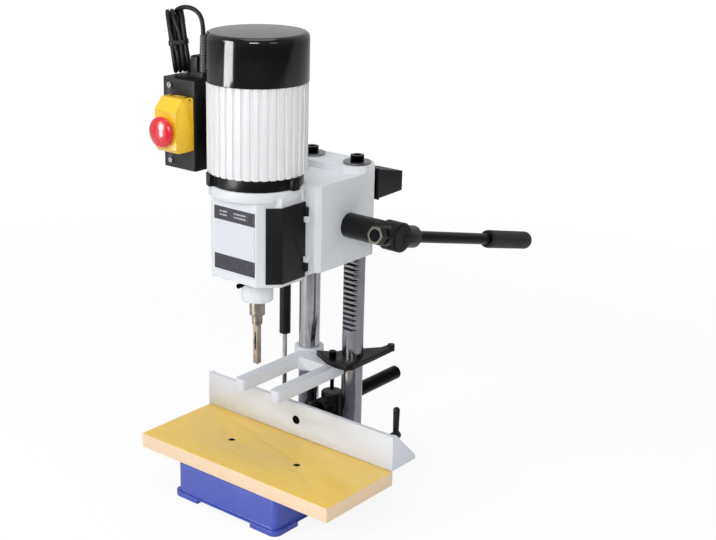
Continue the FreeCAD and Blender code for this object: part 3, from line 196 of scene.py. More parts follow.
# The points carry the thickness, since a point's radius of 1 would widen the curve's box by a metre.
cord_curve.bevel_depth = 1.0
cord_curve.bevel_resolution = 5
cord_curve.resolution_u = 6
strand = cord_curve.splines.new("NURBS")
strand.points.add(len(cord_points) - 1)
weights = np.ones(len(cord_points))
strand.points.foreach_set("co", np.column_stack([cord_points, weights]).ravel())
strand.points.foreach_set("radius", np.full(len(cord_points), cord_radius))
strand.order_u = 3
strand.use_endpoint_u = True
mains_cord = bpy.data.objects.new("mains_cord", cord_curve)
bpy.context.scene.collection.objects.link(mains_cord)
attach(mains_cord, "head")
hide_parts("cord_lead", "cord_hank", "cord_tail")
print("cord points", len(cord_points))


def curve_line(curve_object):
    """The points a curve runs through, read from a copy that has no thickness."""
    copy = curve_object.copy()
    copy.data = curve_object.data.copy()
    copy.data.bevel_depth = 0
    bpy.context.scene.collection.objects.link(copy)
    bpy.context.view_layer.update()
    seen_now = bpy.context.evaluated_depsgraph_get()
    line = bpy.data.meshes.new_from_object(copy.evaluated_get(seen_now))
    rows = np.empty(len(line.vertices) * 3)
    line.vertices.foreach_get("co", rows)
    bpy.data.objects.remove(copy)
    return rows.reshape(-1, 3)


cord_line = curve_line(mains_cord)

# %% [markdown]
# ## A way to write shader maths
# A material is a small sum: some noise, times a number, plus another noise. Wired by
# hand, each sign is a node and two links. The class below wraps a socket so that
# Python's own signs add the nodes, and the sum is read like a sum.

# %% Wires and finishes
class Wire:
    """A socket that can be added, multiplied and taken from."""

    def __init__(self, finish, socket):
        self.finish = finish
        self.socket = socket

    def maths(self, operation, *values):
        settings = {"operation": operation}
        return self.finish.node("ShaderNodeMath", settings, dict(enumerate(values)))

    def __add__(self, other):
        return self.maths("ADD", self, other)

    __radd__ = __add__

    def __mul__(self, other):
        return self.maths("MULTIPLY", self, other)

    def __sub__(self, other):
        return self.maths("SUBTRACT", self, other)

    def __rsub__(self, other):
        return self.maths("SUBTRACT", other, self)

    def above(self, edge, blur):
        """0 below an edge and 1 above it, with a soft step between."""
        return self.finish.node("ShaderNodeMapRange", {"interpolation_type": "SMOOTHSTEP"},
                                {"Value": self, "From Min": edge - blur, "From Max": edge + blur})

    def between(self, low, high, blur):
        """1 from low to high and 0 elsewhere."""
        return self.above(low, blur) * (1 - self.above(high, blur))


class Tree:
    """A tree of nodes, of the world or of a material."""

    def __init__(self, tree):
        self.tree = tree

    def node(self, kind, settings=None, sockets=None, output=0):
        """Adds a node: its settings first, then a value or a link for each socket named."""
        made = self.tree.nodes.new(kind)
        for key, value in (settings or {}).items():
            setattr(made, key, value)
        for key, value in (sockets or {}).items():
            if isinstance(value, Wire):
                self.tree.links.new(value.socket, made.inputs[key])
            else:
                made.inputs[key].default_value = value
        return Wire(self, made.outputs[output])

    def ray(self, kind):
        """1 where a ray is of that kind."""
        return self.node("ShaderNodeLightPath", output=kind)


class Finish(Tree):
    """A material in the making: its nodes, and the skin that they feed."""

    def __init__(self, name, **constants):
        self.material = bpy.data.materials.new(name)
        self.material.use_nodes = True
        super().__init__(self.material.node_tree)
        self.skin = self.tree.nodes["Principled BSDF"]
        for socket, value in constants.items():
            self.skin.inputs[socket.replace("_", " ")].default_value = value
        self.place = self.node("ShaderNodeTexCoord", output="Object")

    def toward(self, direction):
        """How far the place lies along a direction, in metres."""
        return self.node("ShaderNodeVectorMath", {"operation": "DOT_PRODUCT"},
                         {0: self.place, 1: direction}, output="Value")

    def noise(self, per_metre, detail=2.0, roughness=0.5, at=None):
        return self.node("ShaderNodeTexNoise", None, {
            "Vector": at or self.place, "Scale": per_metre, "Detail": detail,
            "Roughness": roughness})

    def stretched(self, x, y, z):
        """The place, squeezed along each axis, for streaks and brushing."""
        return self.node("ShaderNodeMapping", None, {"Vector": self.place, "Scale": (x, y, z)})

    def axis(self, letter):
        """One coordinate of the place, in metres."""
        return self.node("ShaderNodeSeparateXYZ", None, {"Vector": self.place}, output=letter)

    def blend(self, share, first, second):
        """A colour between two: each is a wire or three numbers."""
        colours = [c if isinstance(c, Wire) else (*c, 1) for c in (first, second)]
        return self.node("ShaderNodeMix", {"data_type": "RGBA"},
                         {0: share, 6: colours[0], 7: colours[1]}, output=2)

    def feed(self, socket, wire):
        self.tree.links.new(wire.socket, self.skin.inputs[socket])

    def bump(self, height, distance, edge_round=0.0):
        """Raises the surface by height, in metres, and can round the edges that light sees."""
        sockets = {"Height": height, "Distance": distance, "Strength": 1.0}
        if edge_round:
            sockets["Normal"] = self.node("ShaderNodeBevel", {"samples": 6}, {"Radius": edge_round})
        self.feed("Normal", self.node("ShaderNodeBump", None, sockets))

    def edge(self, radius):
        """1 along sharp edges and 0 elsewhere: where a rounded normal leaves the true one."""
        rounded = self.node("ShaderNodeBevel", {"samples": 6}, {"Radius": radius})
        true = self.node("ShaderNodeNewGeometry", output="Normal")
        agree = self.node("ShaderNodeVectorMath", {"operation": "DOT_PRODUCT"},
                          {0: rounded, 1: true}, output="Value")
        return (1 - agree).above(0.12, 0.1)


def tone(red, green, blue):
    """A colour as seen on a screen, 0 to 255, turned into light."""
    share = np.array([red, green, blue]) / 255
    light = np.where(share <= 0.04045, share / 12.92, ((share + 0.055) / 1.055) ** 2.4)
    return tuple(float(value) for value in light)


def dress(piece, finish):
    """Puts one finish on every slot that a piece has, or on a new one."""
    if not piece.data.materials:
        piece.data.materials.append(finish)
    for slot in piece.material_slots:
        slot.material = finish


# %% [markdown]
# ## Studio
# The machine stands on a white sweep of paper, in a room that is dim behind the viewer.
# So the world is white where the camera looks at it and where the paper is, and only a
# grey where the room is: polished steel then mirrors both and gets its bright and dark
# bands, and black paint stays black. Four broad lamps do the modelling: one from the
# left and front, one from the right and front, a weak one from the right and one from
# above. A tall strip that only gloss and steel can see draws the bright line down the
# cap and the columns. The paper glows for the camera, a little less near the machine,
# where it keeps the shadow. In front of the machine the paper ends, and black paint there
# has nothing white to mirror.

# %% World and lamps
sweep_white = 0.62
room_grey = 0.2
horizon_blur = 0.35
level_forward = (forward.x, forward.y, 0)
world = bpy.data.worlds.new("white_sweep")
bpy.context.scene.world = world
bpy.context.scene.view_settings.view_transform = "Standard"
world.use_nodes = True
sky = Tree(world.node_tree)
looks_away = sky.node("ShaderNodeVectorMath", {"operation": "DOT_PRODUCT"}, {
    0: sky.node("ShaderNodeTexCoord", output="Generated"),
    1: level_forward}, output="Value")
paper = looks_away.above(0.0, horizon_blur)
indirect = paper * (sweep_white - room_grey) + room_grey
from_camera = sky.ray("Is Camera Ray")
whole = from_camera + (1 - from_camera) * indirect
sky.tree.links.new(whole.socket, sky.tree.nodes["Background"].inputs["Strength"])
sky.tree.nodes["Background"].inputs["Color"].default_value = (1, 1, 1, 1)


def lamp(name, place, aim, size, watts, tall=1.0):
    """A soft lamp that looks at a point: square, or so many times taller than wide."""
    light = bpy.data.lights.new(name, "AREA")
    light.shape = "RECTANGLE"
    light.size = size
    light.size_y = size * tall
    light.energy = watts
    holder = bpy.data.objects.new(name, light)
    bpy.context.scene.collection.objects.link(holder)
    holder.location = place
    holder.rotation_euler = (Vector(aim) - Vector(place)).to_track_quat("-Z", "Y").to_euler()
    return holder


machine_middle = (0, 0, 0.35)
lamp("key_lamp", (-1.1, -2.2, 1.5), machine_middle, 1.0, 21)
strip = lamp("strip_lamp", (-0.49, -1.36, 0.45), (0, -0.07, 0.45), 0.5, 42, 2.9)
strip.visible_diffuse = False
lamp("front_lamp", (1.5, -2.3, 1.5), machine_middle, 0.9, 42)
lamp("side_lamp", (2.3, -0.6, 1.2), machine_middle, 0.7, 5)
lamp("top_lamp", (0.1, -0.1, 2.4), machine_middle, 1.2, 12)

# %% Floor
floor_half = 6.0
paper_white = 0.92
dim_floor = 0.12
glow_near = 0.88
glow_far = 1.0
glow_grows_at, glow_blur = 1.3, 0.8
paper_starts_at, paper_blur = -0.7, 0.4
floor_mesh = bpy.data.meshes.new("floor")
floor_mesh.from_pydata([(-floor_half, -floor_half, 0), (floor_half, -floor_half, 0),
                        (floor_half, floor_half, 0), (-floor_half, floor_half, 0)], [], [(0, 1, 2, 3)])
floor = bpy.data.objects.new("floor", floor_mesh)
bpy.context.scene.collection.objects.link(floor)
sweep = Finish("paper_sweep", Roughness=0.9, Specular_IOR_Level=0.1, Emission_Strength=1.0)
away = sweep.node("ShaderNodeVectorMath", {"operation": "LENGTH"}, {0: sweep.place}, output="Value")
glow = away.above(glow_grows_at, glow_blur) * (glow_far - glow_near) + glow_near
from_camera = sweep.ray("Is Camera Ray")
in_front = 1 - sweep.toward(level_forward).above(paper_starts_at, paper_blur)
black, white = (0, 0, 0), (1, 1, 1)
sweep.feed("Emission Color", sweep.blend(glow * from_camera, black, white))
bounced = in_front * (dim_floor - paper_white) + paper_white
seen = (1 - glow) * paper_white
reflected = from_camera * seen + (1 - from_camera) * bounced
sweep.feed("Base Color", sweep.blend(reflected, black, white))
dress(floor, sweep.material)
print("lamps", len(bpy.data.lights))

# %% [markdown]
# ## Paint on castings
# Sand-cast iron is never flat. Under its enamel there is a slow waviness from the mould
# and, in the paint itself, a fine skin like orange peel. Paint draws back from a sharp
# edge, so edges are a little lighter and duller. The blue base has the glossier enamel;
# the white head has a duller, more powdery one.

# %% Enamels
worn_edge, painted_edge = 1.2 * MM, 1.1 * MM


def enamel(name, colour, gloss, coat, peel, worn_share, flow=40, shine=0.5):
    """Painted casting: tint drifts, orange peel, and edges where the paint is thin."""
    paint = Finish(name, Coat_Roughness=0.08, Specular_IOR_Level=shine)
    drift = paint.noise(flow, 3) - 0.5
    edge = paint.edge(worn_edge) * paint.noise(350, 3).above(0.45, 0.12)
    base = paint.blend(drift * 0.5 + 0.5, tuple(c * 0.94 for c in colour),
                       tuple(min(1.0, c * 1.05) for c in colour))
    thin = tuple(c + (0.75 - c) * 0.35 for c in colour)
    paint.feed("Base Color", paint.blend(edge * worn_share, base, thin))
    paint.feed("Roughness", drift * 0.12 + gloss + edge * 0.15)
    paint.feed("Coat Weight", (1 - edge * 0.6) * coat)
    grain = paint.noise(900, 2) * 0.35 + paint.noise(260, 2) * 0.5 + paint.noise(28, 1) * 3.0
    paint.bump(grain, peel, painted_edge)
    return paint.material


finishes = {
    "base_paint": enamel("blue_enamel", tone(48, 70, 172), 0.34, 0.5, 0.10 * MM, 0.35),
    "head_paint": enamel("white_enamel", tone(226, 230, 234), 0.5, 0.02, 0.10 * MM, 0.2,
                         shine=0.2),
    "fence_paint": enamel("grey_enamel", tone(216, 220, 228), 0.5, 0.02, 0.13 * MM, 0.3,
                          shine=0.2),
    "black_paint": enamel("black_enamel", tone(14, 14, 16), 0.32, 0.0, 0.08 * MM, 0.06,
                          shine=0.2),
}
print("enamels", len(finishes))

# %% [markdown]
# ## Steel
# A ground column is polished along its round, so its fine scratches are rings, and its
# rack is cut. Screws are blackened, the chisel is ground and has a brown temper from
# its hardening, and the gas spring's rod is chromed. All of them are metals: what the
# eye reads is the room's reflection, and how much the scratches blur it. The motor's
# finned shell is an alloy under silver paint, so that one is an enamel again.

# %% Steels
ground_edge = 0.4 * MM


def metal(name, colour, dull, scratch_stretch, scratch_depth, spots=0.0, second=None):
    """Bright or darkened metal with scratches drawn out along one axis."""
    steel = Finish(name, Metallic=1.0)
    lines = steel.noise(1.0, 3, 0.6, at=steel.stretched(*scratch_stretch))
    cloud = steel.noise(60, 3, 0.6)
    other = second or tuple(c * 0.82 for c in colour)
    steel.feed("Base Color", steel.blend(cloud.above(0.55, 0.25), colour, other))
    pitting = steel.noise(700, 2).above(0.62, 0.05) * spots
    steel.feed("Roughness", (lines - 0.5) * 0.14 + dull + cloud * 0.05 + pitting)
    steel.bump(lines, scratch_depth, ground_edge)
    return steel.material


def even(per_metre):
    """Scratches that run no way in particular."""
    return (per_metre, per_metre, per_metre)


around_z = (40, 40, 2600)
finishes["chromed"] = metal("ground_steel", tone(172, 173, 177), 0.13, around_z, 0.004 * MM)
finishes["steel"] = metal("machined_steel", tone(150, 150, 152), 0.3, around_z, 0.02 * MM, 0.1)
finishes["dark_steel"] = metal("black_oxide", tone(6, 6, 7), 0.32, even(600), 0.02 * MM, 0.2)
finishes["tool_steel"] = metal("tempered_steel", tone(158, 150, 140), 0.28, around_z, 0.02 * MM,
                               0.1, tone(120, 104, 88))
finishes["alloy"] = enamel("silver_paint", tone(238, 238, 240), 0.5, 0.02, 0.06 * MM, 0.1,
                           shine=0.2)
finishes["bronze"] = metal("sintered_bronze", tone(186, 144, 92), 0.4, even(700), 0.03 * MM, 0.3)
finishes["winding"] = metal("enamelled_copper", tone(176, 96, 56), 0.35, around_z, 0.05 * MM)
print("steels", len(finishes))

# %% [markdown]
# ## Mouldings and rubber
# A glossy moulding is smooth with a slow waviness and a few dull scuffs. A matt one has
# a spark-eroded grain. Rubber is duller still.

# %% Plastics
moulded_edge = 0.7 * MM


def moulding(name, colour, gloss, grain_depth, grain_per_metre=1400, coat=0.0, scuff=0.1,
             shine=0.5):
    """Injection-moulded plastic: a fine grain, slow sink waves and scuffs."""
    plastic = Finish(name, Coat_Roughness=0.05, Specular_IOR_Level=shine)
    scuffs = plastic.noise(90, 4, 0.7).above(0.6, 0.12)
    darker = tuple(c * 0.95 for c in colour)
    paler = tuple(min(1.0, c * 1.06 + 0.002) for c in colour)
    plastic.feed("Base Color", plastic.blend(plastic.noise(25, 2), darker, paler))
    plastic.feed("Roughness", scuffs * scuff + gloss)
    plastic.feed("Coat Weight", (1 - scuffs) * coat)
    grain = plastic.noise(grain_per_metre, 2) + plastic.noise(35, 1) * 2.5
    plastic.bump(grain, grain_depth, moulded_edge)
    return plastic.material


finishes["black_gloss"] = moulding("gloss_black", tone(18, 18, 20), 0.1, 0.002 * MM, 300, 0.15,
                                   scuff=0.02, shine=0.4)
finishes["black_matte"] = moulding("matt_black", tone(14, 14, 16), 0.42, 0.05 * MM, shine=0.22)
finishes["yellow_plastic"] = moulding("yellow_cover", tone(248, 200, 40), 0.26, 0.015 * MM,
                                      500, 0.3)
for slot, name, colour in (("red_plastic", "red_button", tone(222, 28, 48)),
                           ("green_plastic", "green_button", tone(24, 140, 60))):
    finishes[slot] = moulding(name, colour, 0.24, 0.012 * MM, 400, 0.35)
finishes["grip_rubber"] = moulding("grip_rubber", tone(20, 20, 22), 0.5, 0.09 * MM, 1100,
                                   shine=0.3)
finishes["cord_rubber"] = moulding("cord_sheath", tone(18, 18, 20), 0.5, 0.03 * MM, 900,
                                   shine=0.2)

# %% [markdown]
# ## Board and plate
# The table is a fibre board under a yellow lacquer. Its faces are smooth, with faint
# long streaks of fibre, and its sawn edges are paler and thirstier. The plate on the
# head is printed: dark bands above and below a pale field, the upper one with two rows
# of pale dashes, and no words.

# %% Board and label
lacquer_depth, lacquer_blur = 0.6 * MM, 0.35 * MM
board_edge = 0.8 * MM
band_margin, upper_band_foot, lower_band_head = 3 * MM, 22 * MM, 25 * MM
band_blur = 0.3 * MM
dash_rows = (8.5 * MM, 13.5 * MM)
dash_height, dash_blur = 2.2 * MM, 0.2 * MM


def lacquered_board():
    """Yellow lacquer over fibre board, paler where the edge was sawn."""
    board = Finish("lacquered_board", Coat_Roughness=0.12)
    height = board.axis("Z")
    top = height.above(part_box("table_board")[1][2] - lacquer_depth, lacquer_blur)
    streak = board.noise(1.0, 5, 0.65, at=board.stretched(16, 190, 190))
    fleck = board.noise(520, 3, 0.7).above(0.58, 0.1)
    face = board.blend(streak.above(0.5, 0.3), tone(243, 205, 98), tone(236, 194, 86))
    layers = board.noise(1.0, 3, 0.6, at=board.stretched(30, 30, 700))
    sawn = board.blend(layers, tone(242, 218, 186), tone(230, 200, 164))
    colour = board.blend(top, sawn, face)
    board.feed("Base Color", board.blend(fleck * 0.18, colour, tone(190, 140, 60)))
    board.feed("Roughness", (1 - top) * 0.25 + 0.3 + fleck * 0.1)
    board.feed("Coat Weight", top * 0.3)
    board.bump(streak * 0.6 + fleck * 0.4 + layers * (1 - top), 0.06 * MM, board_edge)
    return board.material


def printed_plate():
    """A pale plate with two dark bands and a few dashes, and nothing to read."""
    plate = Finish("printed_plate", Roughness=0.5, Specular_IOR_Level=0.15)
    low, high = (corner[2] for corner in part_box("label_plate"))
    height = plate.axis("Z")
    upper = height.between(high - upper_band_foot, high - band_margin, band_blur)
    lower = height.between(low + band_margin, low + lower_band_head, band_blur)
    ink = (upper + lower) * (0.93 + plate.noise(200, 3) * 0.07)
    dashes = plate.noise(1.0, 1, at=plate.stretched(160, 1, 1)).above(0.5, 0.02)
    for depth in dash_rows:
        row = height.between(high - depth - dash_height, high - depth, dash_blur)
        ink = ink - row * dashes * 0.55
    plate.feed("Base Color", plate.blend(ink, tone(218, 221, 229), tone(38, 37, 48)))
    plate.bump(ink * 0.5 + plate.noise(600, 2) * 0.2, 0.03 * MM)
    return plate.material


finishes["board"] = lacquered_board()
finishes["label"] = printed_plate()
slot_of = {part["node"]: part["material_slot"] for part in frame["record"]["subparts"]}
for name, node in frame["nodes"].items():
    dress(node, finishes[slot_of[name]])
dress(mains_cord, finishes["cord_rubber"])
cut_steel = metal("cut_steel", tone(140, 141, 145), 0.16, around_z, 0.004 * MM)
dress(frame["nodes"]["rack_column"], cut_steel)
print("finishes", len(finishes), "dressed nodes", len(frame["nodes"]))

# %% [markdown]
# ## Castings with rounded edges
# A drawn solid has edges like knives, and cast or moulded things have none. A copy of
# each such solid gets its seams merged, its flat faces joined and its edges bevelled,
# with a radius that suits how it is made: two millimetres on the iron base, a few
# tenths on bent plate.

# %% Softened castings
seam_width = 0.002 * MM
flat_within = math.radians(0.6)
sharp_beyond = math.radians(32)
bevel_steps = 3


def stand_in(piece, node_name):
    """The piece rides with a node's body, takes the node's finish and replaces it."""
    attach(piece, body_of(frame["nodes"][node_name])[0])
    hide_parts(node_name)
    dress(piece, finishes[slot_of[node_name]])


def softened(node_name, radius):
    """A copy of a node with rounded edges, which stands in for it."""
    node = frame["nodes"][node_name]
    copy = bpy.data.objects.new("soft_" + node_name, node.data.copy())
    bpy.context.scene.collection.objects.link(copy)
    form = bmesh.new()
    form.from_mesh(copy.data)
    bmesh.ops.remove_doubles(form, verts=form.verts, dist=seam_width)
    bmesh.ops.dissolve_limit(form, angle_limit=flat_within, verts=form.verts, edges=form.edges)
    form.to_mesh(copy.data)
    form.free()
    copy.data.shade_smooth()
    bevel = copy.modifiers.new("rounding", "BEVEL")
    bevel.width = radius * MM
    bevel.segments = bevel_steps
    bevel.limit_method = "ANGLE"
    bevel.angle_limit = sharp_beyond
    bevel.harden_normals = True
    bpy.context.view_layer.update()
    seen_now = bpy.context.evaluated_depsgraph_get()
    rounded = bpy.data.meshes.new_from_object(copy.evaluated_get(seen_now))
    copy.modifiers.clear()
    copy.data = rounded
    copy.data.name = copy.name
    stand_in(copy, node_name)
    return copy


cast_radii = {
    "base_casting": 2.2, "head_casting": 1.6, "table_board": 0.7, "fence_plate": 0.7,
    "holddown_fork": 0.8, "holddown_plate": 0.5, "switch_box": 2.2, "switch_lid": 1.8,
    "rear_cover": 1.2, "bar_post": 1.2, "motor_flange": 1.0, "feed_hub": 0.8, "chuck_door": 0.6,
    "motor_cap": 0.6, "motor_body": 0.4, "cable_gland": 0.8, "bar_clamp_lever": 0.6,
    "fence_stop_lever": 0.6, "lever_nut": 0.5}
castings = [softened(name, radius) for name, radius in cast_radii.items()]
oiled_steel = metal("oiled_steel", tone(58, 56, 52), 0.42, around_z, 0.02 * MM)
dress(bpy.data.objects["soft_lever_nut"], oiled_steel)
print("softened", len(castings), "faces", sum(len(piece.data.polygons) for piece in castings))

# %% [markdown]
# ## Turned and drawn-out forms
# Everything round is a grid of points: rows along a length, columns round it. The grid
# is bent from two plain lists, how far along and how wide, and a ripple can be laid
# over it: knurls on the chuck, ribs on the grip, the flutes of the auger.

# %% Grids
crease = math.radians(40)


def grid_piece(name, rows, node_name, ring=False):
    """Joins rows of points that close round, and caps the ends or makes a ring."""
    count, columns = rows.shape[:2]
    points = rows.reshape(-1, 3)
    r, c = np.meshgrid(np.arange(count if ring else count - 1), np.arange(columns), indexing="ij")
    after = (c + 1) % columns
    below = (r + 1) % count
    quads = np.stack([r * columns + c, r * columns + after, below * columns + after,
                      below * columns + c], axis=-1).reshape(-1, 4)
    first_cap = tuple(range(columns))[::-1]
    last_cap = tuple(range((count - 1) * columns, count * columns))
    caps = [] if ring else [first_cap, last_cap]
    mesh = bpy.data.meshes.new(name)
    mesh.from_pydata(points.tolist(), [], quads.tolist() + caps)
    mesh.validate()
    mesh.shade_smooth()
    mesh.set_sharp_from_angle(angle=crease)
    piece = bpy.data.objects.new(name, mesh)
    bpy.context.scene.collection.objects.link(piece)
    stand_in(piece, node_name)
    return piece


def around(base, axis, along, wide, columns=96, ripple=None):
    """Rings about an axis: along and wide are in millimetres, and ripple widens each point."""
    axis = np.array(axis, float) / np.linalg.norm(axis)
    helper = np.array([0, 0, 1.0]) if abs(axis[2]) < 0.9 else np.array([1.0, 0, 0])
    side = np.cross(helper, axis)
    side /= np.linalg.norm(side)
    other = np.cross(axis, side)
    angle = np.linspace(0, 2 * math.pi, columns, endpoint=False)
    along = np.asarray(along, float)[:, None]
    width = np.asarray(wide, float)[:, None] + np.zeros((1, columns))
    if ripple is not None:
        width = width + ripple(along + 0 * width, angle[None, :] + 0 * width)
    ring = np.cos(angle)[:, None] * side + np.sin(angle)[:, None] * other
    return np.array(base) + (along[..., None] * axis + width[..., None] * ring) * MM


def rounded_corners(points, radius, steps=6):
    """A polyline of (along, wide) whose inner corners are turned into arcs."""
    points = [np.array(p, float) for p in points]
    line = [points[0]]
    for before, corner, after in zip(points, points[1:], points[2:]):
        a, b = before - corner, after - corner
        reach = min(radius, 0.45 * np.linalg.norm(a), 0.45 * np.linalg.norm(b))
        start = corner + a / np.linalg.norm(a) * reach
        end = corner + b / np.linalg.norm(b) * reach
        for t in np.linspace(0, 1, steps):
            line.append((1 - t) ** 2 * start + 2 * t * (1 - t) * corner + t ** 2 * end)
    line.append(points[-1])
    return np.array(line).T


def middle_of(node_name):
    """The middle of a node's box in metres, and the box's size in millimetres."""
    low, high = (np.array(corner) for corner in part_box(node_name))
    return (low + high) / 2, (high - low) / MM


# %% [markdown]
# ## Mushroom, grip, chuck and auger
# The mushroom is a low dome on a waist. The grip is rubber with shallow rings, and its
# nub closes the lever's end. The chuck has the teeth of a key chuck, and the auger is
# a round bar with two flutes that wind up it.

# %% Turned pieces
def divided(line, step):
    """Puts more points on the long stretches of an (along, wide) line."""
    rows = [line[:, :1]]
    for start, end in zip(line.T, line.T[1:]):
        count = max(1, int(np.linalg.norm(end - start) / step))
        rows.append(start[:, None] + (end - start)[:, None] * np.arange(1, count + 1) / count)
    return np.hstack(rows)


def turned(name, node_name, base, axis, outline, bend, columns, step=50.0, ripple=None):
    """A solid of revolution from (along, radius) corners that are rounded off."""
    along, wide = divided(rounded_corners(outline, bend), step)
    return grid_piece(name, around(base, axis, along, wide, columns, ripple), node_name)


mushroom_middle, mushroom_size = middle_of("stop_mushroom")
mushroom_back = (mushroom_middle[0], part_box("stop_mushroom")[1][1], mushroom_middle[2])
mushroom_long = mushroom_size[1]
mushroom_radius = mushroom_size[0] / 2
waist_radius = 7.0
rim_depth = 13.0
rim_at = mushroom_long - rim_depth
turned("mushroom_dome", "stop_mushroom", mushroom_back, (0, -1, 0),
       [(0, 0.3), (0, waist_radius), (rim_at - 2, waist_radius), (rim_at, mushroom_radius - 4),
        (rim_at + 1, mushroom_radius), (rim_at + 6, mushroom_radius), (mushroom_long - 3.5, 15.5),
        (mushroom_long - 0.6, 8), (mushroom_long, 0.3)], 4, 96)

lever_slope = math.radians(-13.8)
lever_axis = (0, math.cos(lever_slope), math.sin(lever_slope))
lever_cross = np.array([146.0, 47.8, 413.0]) * MM
grip_start, grip_end, nub_end = 246.0, 361.0, 366.0
grip_radius, nub_radius, bore_radius = 13.8, 7.6, 8.5
grip_ring_pitch, grip_ring_depth = 6.4, 0.3
smooth_end, ring_fade = 12, 6


def rises(along, start, length):
    """0 before a start, 1 from a length after it."""
    return np.clip((along - start) / length, 0, 1)


def falls(along, end, length):
    """1 until a length before an end, 0 after it."""
    return np.clip((end - along) / length, 0, 1)


def waves(along, pitch):
    """Waves between 0 and 1."""
    return 0.5 + 0.5 * np.cos(along * 2 * math.pi / pitch)


def grip_ripple(along, angle):
    """Shallow rings between the grip's two smooth ends, on its outside only."""
    share = (rises(along, grip_start + smooth_end, ring_fade)
             * falls(along, grip_end - smooth_end, ring_fade))
    return -grip_ring_depth * share * waves(along, grip_ring_pitch) + 0 * angle


turned("grip_ribbed", "lever_grip", lever_cross, lever_axis,
       [(grip_start, bore_radius), (grip_start, grip_radius - 0.6), (grip_start + 3, grip_radius),
        (grip_end, grip_radius), (grip_end, nub_radius), (nub_end, nub_radius), (nub_end, 0.3)],
       3.5, 72, 0.8, grip_ripple)

chuck_middle, chuck_size = middle_of("chuck_body")
chuck_low = (chuck_middle[0], chuck_middle[1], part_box("chuck_body")[0][2])
chuck_radius = chuck_size[0] / 2
tooth_count, tooth_depth, tooth_foot, tooth_top = 24, 1.1, 8, 15
knurl_count, knurl_depth, knurl_foot, knurl_top = 48, 0.35, 20, 40
run_out = 2


def chuck_ripple(along, angle):
    """Key teeth round the sleeve's lower end, and a fine knurl above them."""
    teeth = falls(along, tooth_top, run_out) * rises(along, tooth_foot, run_out)
    knurl = rises(along, knurl_foot, run_out) * falls(along, knurl_top, run_out)
    return (-tooth_depth * teeth * (np.cos(angle * tooth_count) > 0)
            - knurl_depth * knurl * (np.cos(angle * knurl_count) > 0))


turned("chuck_sleeve", "chuck_body", chuck_low, (0, 0, 1),
       [(0, 9.5), (0, 12), (8, chuck_radius - 1), (9, chuck_radius), (17, chuck_radius),
        (18, chuck_radius - 1.5), (19.5, chuck_radius - 1.5), (20, chuck_radius),
        (chuck_size[2] - 2, chuck_radius), (chuck_size[2], chuck_radius - 2), (chuck_size[2], 8.6)],
       0.8, 192, 1.0, chuck_ripple)

auger_middle, auger_size = middle_of("auger_bit")
auger_low = (auger_middle[0], auger_middle[1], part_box("auger_bit")[0][2])
flute_pitch, flute_depth = 14.0, 1.35
flute_end, flute_fade = 120.0, 12


def auger_ripple(along, angle):
    """Two flutes that wind up the bar and run out under the chuck."""
    wound = np.cos(angle - along * 2 * math.pi / flute_pitch) ** 2
    return -flute_depth * wound * falls(along, flute_end, flute_fade) * rises(along, 0, run_out)


turned("auger_fluted", "auger_bit", auger_low, (0, 0, 1),
       [(0, 0.4), (2.5, 2.9), (4, 3), (auger_size[2], 3), (auger_size[2], 0.3)],
       0.3, 32, 0.9, auger_ripple)

# %% [markdown]
# ## What goes with the cord
# The plug is moulded round its cord: a squarish body that narrows to a ribbed sleeve.
# The hank is held by a rubber band that lies on its strands. The cord leaves the anchor
# through a ribbed sleeve as well, whose grey is a painted sheen on dark rubber.

# %% Plug, band and sleeve
def squarish(half_x, half_y, power, angle):
    """The radius of a rounded rectangle, seen from its middle."""
    across = (np.abs(np.sin(angle)) / half_x) ** power
    deep = (np.abs(np.cos(angle)) / half_y) ** power
    return (across + deep) ** (-1 / power)


plug_x, plug_y = tail_route[-1][:2]
plug_half_x, plug_half_y = 11.8, 10.8
blade_length, body_length, sleeve_length = 17.0, 44.0, 22.0
body_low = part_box("mains_plug")[0][2] / MM + blade_length
sleeve_rib_pitch, sleeve_rib_height = 3.6, 0.8
finger_rib_pitch, finger_rib_height = 4.0, 0.35
blade_spacing, blade_half_thick, blade_half_wide = 6.3, 0.75, 3.1
pin_back, pin_radius, pin_tip_radius = 6.5, 2.3, 1.5
prong_root, prong_tip = 0.5, 1.5


def plug_form(along, angle):
    """Body, shoulder and ribbed sleeve, by height above the face with the pins."""
    size = np.interp(along, [0, 1.2, 26, 36, 41, body_length, body_length + sleeve_length],
                     [0.9, 1.0, 1.0, 0.86, 0.62, 0.5, 0.36])
    power = np.interp(along, [26, 44], [5.0, 2.0])
    rib = rises(along, body_length + 1, 2) * waves(along, sleeve_rib_pitch) * sleeve_rib_height
    ripple = np.cos(along * 2 * math.pi / finger_rib_pitch) * finger_rib_height
    grip = rises(along, 6, 2) * falls(along, 26, 2) * ripple
    outline = squarish(plug_half_x * size, plug_half_y * size, power, angle)
    return outline - rib + grip - finger_rib_height


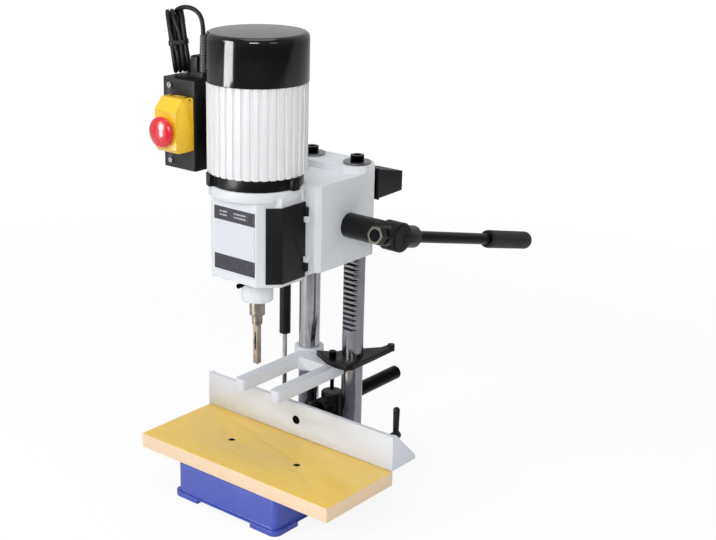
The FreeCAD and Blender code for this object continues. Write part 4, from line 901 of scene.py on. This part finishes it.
def prong(name, across, back, wide, form=None):
    """A steel blade or pin that stands down from the plug's face."""
    foot = ((plug_x + across) * MM, (plug_y + back) * MM, (body_low + prong_root) * MM)
    along = [0, blade_length - prong_tip, blade_length]
    piece = grid_piece(name, around(foot, (0, 0, -1), along, wide, 32, form), "mains_plug")
    dress(piece, finishes["steel"])


def blade_form(along, angle):
    """A flat blade's outline, the same all along."""
    return squarish(blade_half_thick, blade_half_wide, 6, angle) + 0 * along


plug_along = np.concatenate([[0], np.linspace(0.01, body_length + sleeve_length, 130)])
plug_wide = np.concatenate([[-6], np.zeros(130)])
plug_foot = (plug_x * MM, plug_y * MM, body_low * MM)
grid_piece("plug_moulding", around(plug_foot, (0, 0, 1), plug_along, plug_wide, 64, plug_form),
           "mains_plug")
for side in (-1, 1):
    prong("plug_blade", side * blade_spacing, 0, [0, 0, 0], blade_form)
prong("plug_pin", 0, pin_back, [pin_radius, pin_radius, pin_tip_radius])

band_height, band_width, band_thick = 41.0, 6.0, 1.3
strands_thick, strands_wide = 12.6, 28.2
band_squareness = 7
band_angle = np.linspace(0, 2 * math.pi, 96, endpoint=False)
band_rows = []
for out, lift in ((0, 0.3), (band_thick, 0), (band_thick * 1.15, band_width / 2),
                  (band_thick, band_width), (0, band_width - 0.3)):
    reach = squarish(strands_thick + out, strands_wide + out, band_squareness, band_angle)
    local = np.column_stack([np.sin(band_angle) * reach, np.cos(band_angle) * reach,
                             band_height + lift + 0 * band_angle])
    band_rows.append(hank_place(local) * MM)
grid_piece("hank_band", np.array(band_rows), "cord_tie", ring=True)

relief_length, relief_foot_radius, relief_end_radius = 50, 5.6, 3.8
relief_rib_pitch, relief_rib_height = 4.0, 0.9
lead_x, lead_y = lead_route[0][:2]
relief_at = (lead_x * MM, lead_y * MM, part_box("cable_gland")[1][2] - relief_length * MM)
relief_along, relief_wide = divided(np.array([[0, relief_length],
                                              [relief_foot_radius, relief_end_radius]], float), 0.5)


def relief_form(along, angle):
    """Ribs round the sleeve that the cord leaves through."""
    return relief_rib_height * waves(along, relief_rib_pitch) + 0 * angle


relief = grid_piece("sleeve_ribs", around(relief_at, (0, 0, 1), relief_along, relief_wide, 48,
                                          relief_form), "cable_gland")
# The sleeve's mid grey is painted sheen: its rubber is as dark as the cord's.
dress(relief, moulding("sheen_painted_sleeve", tone(70, 70, 74), 0.5, 0.03 * MM))
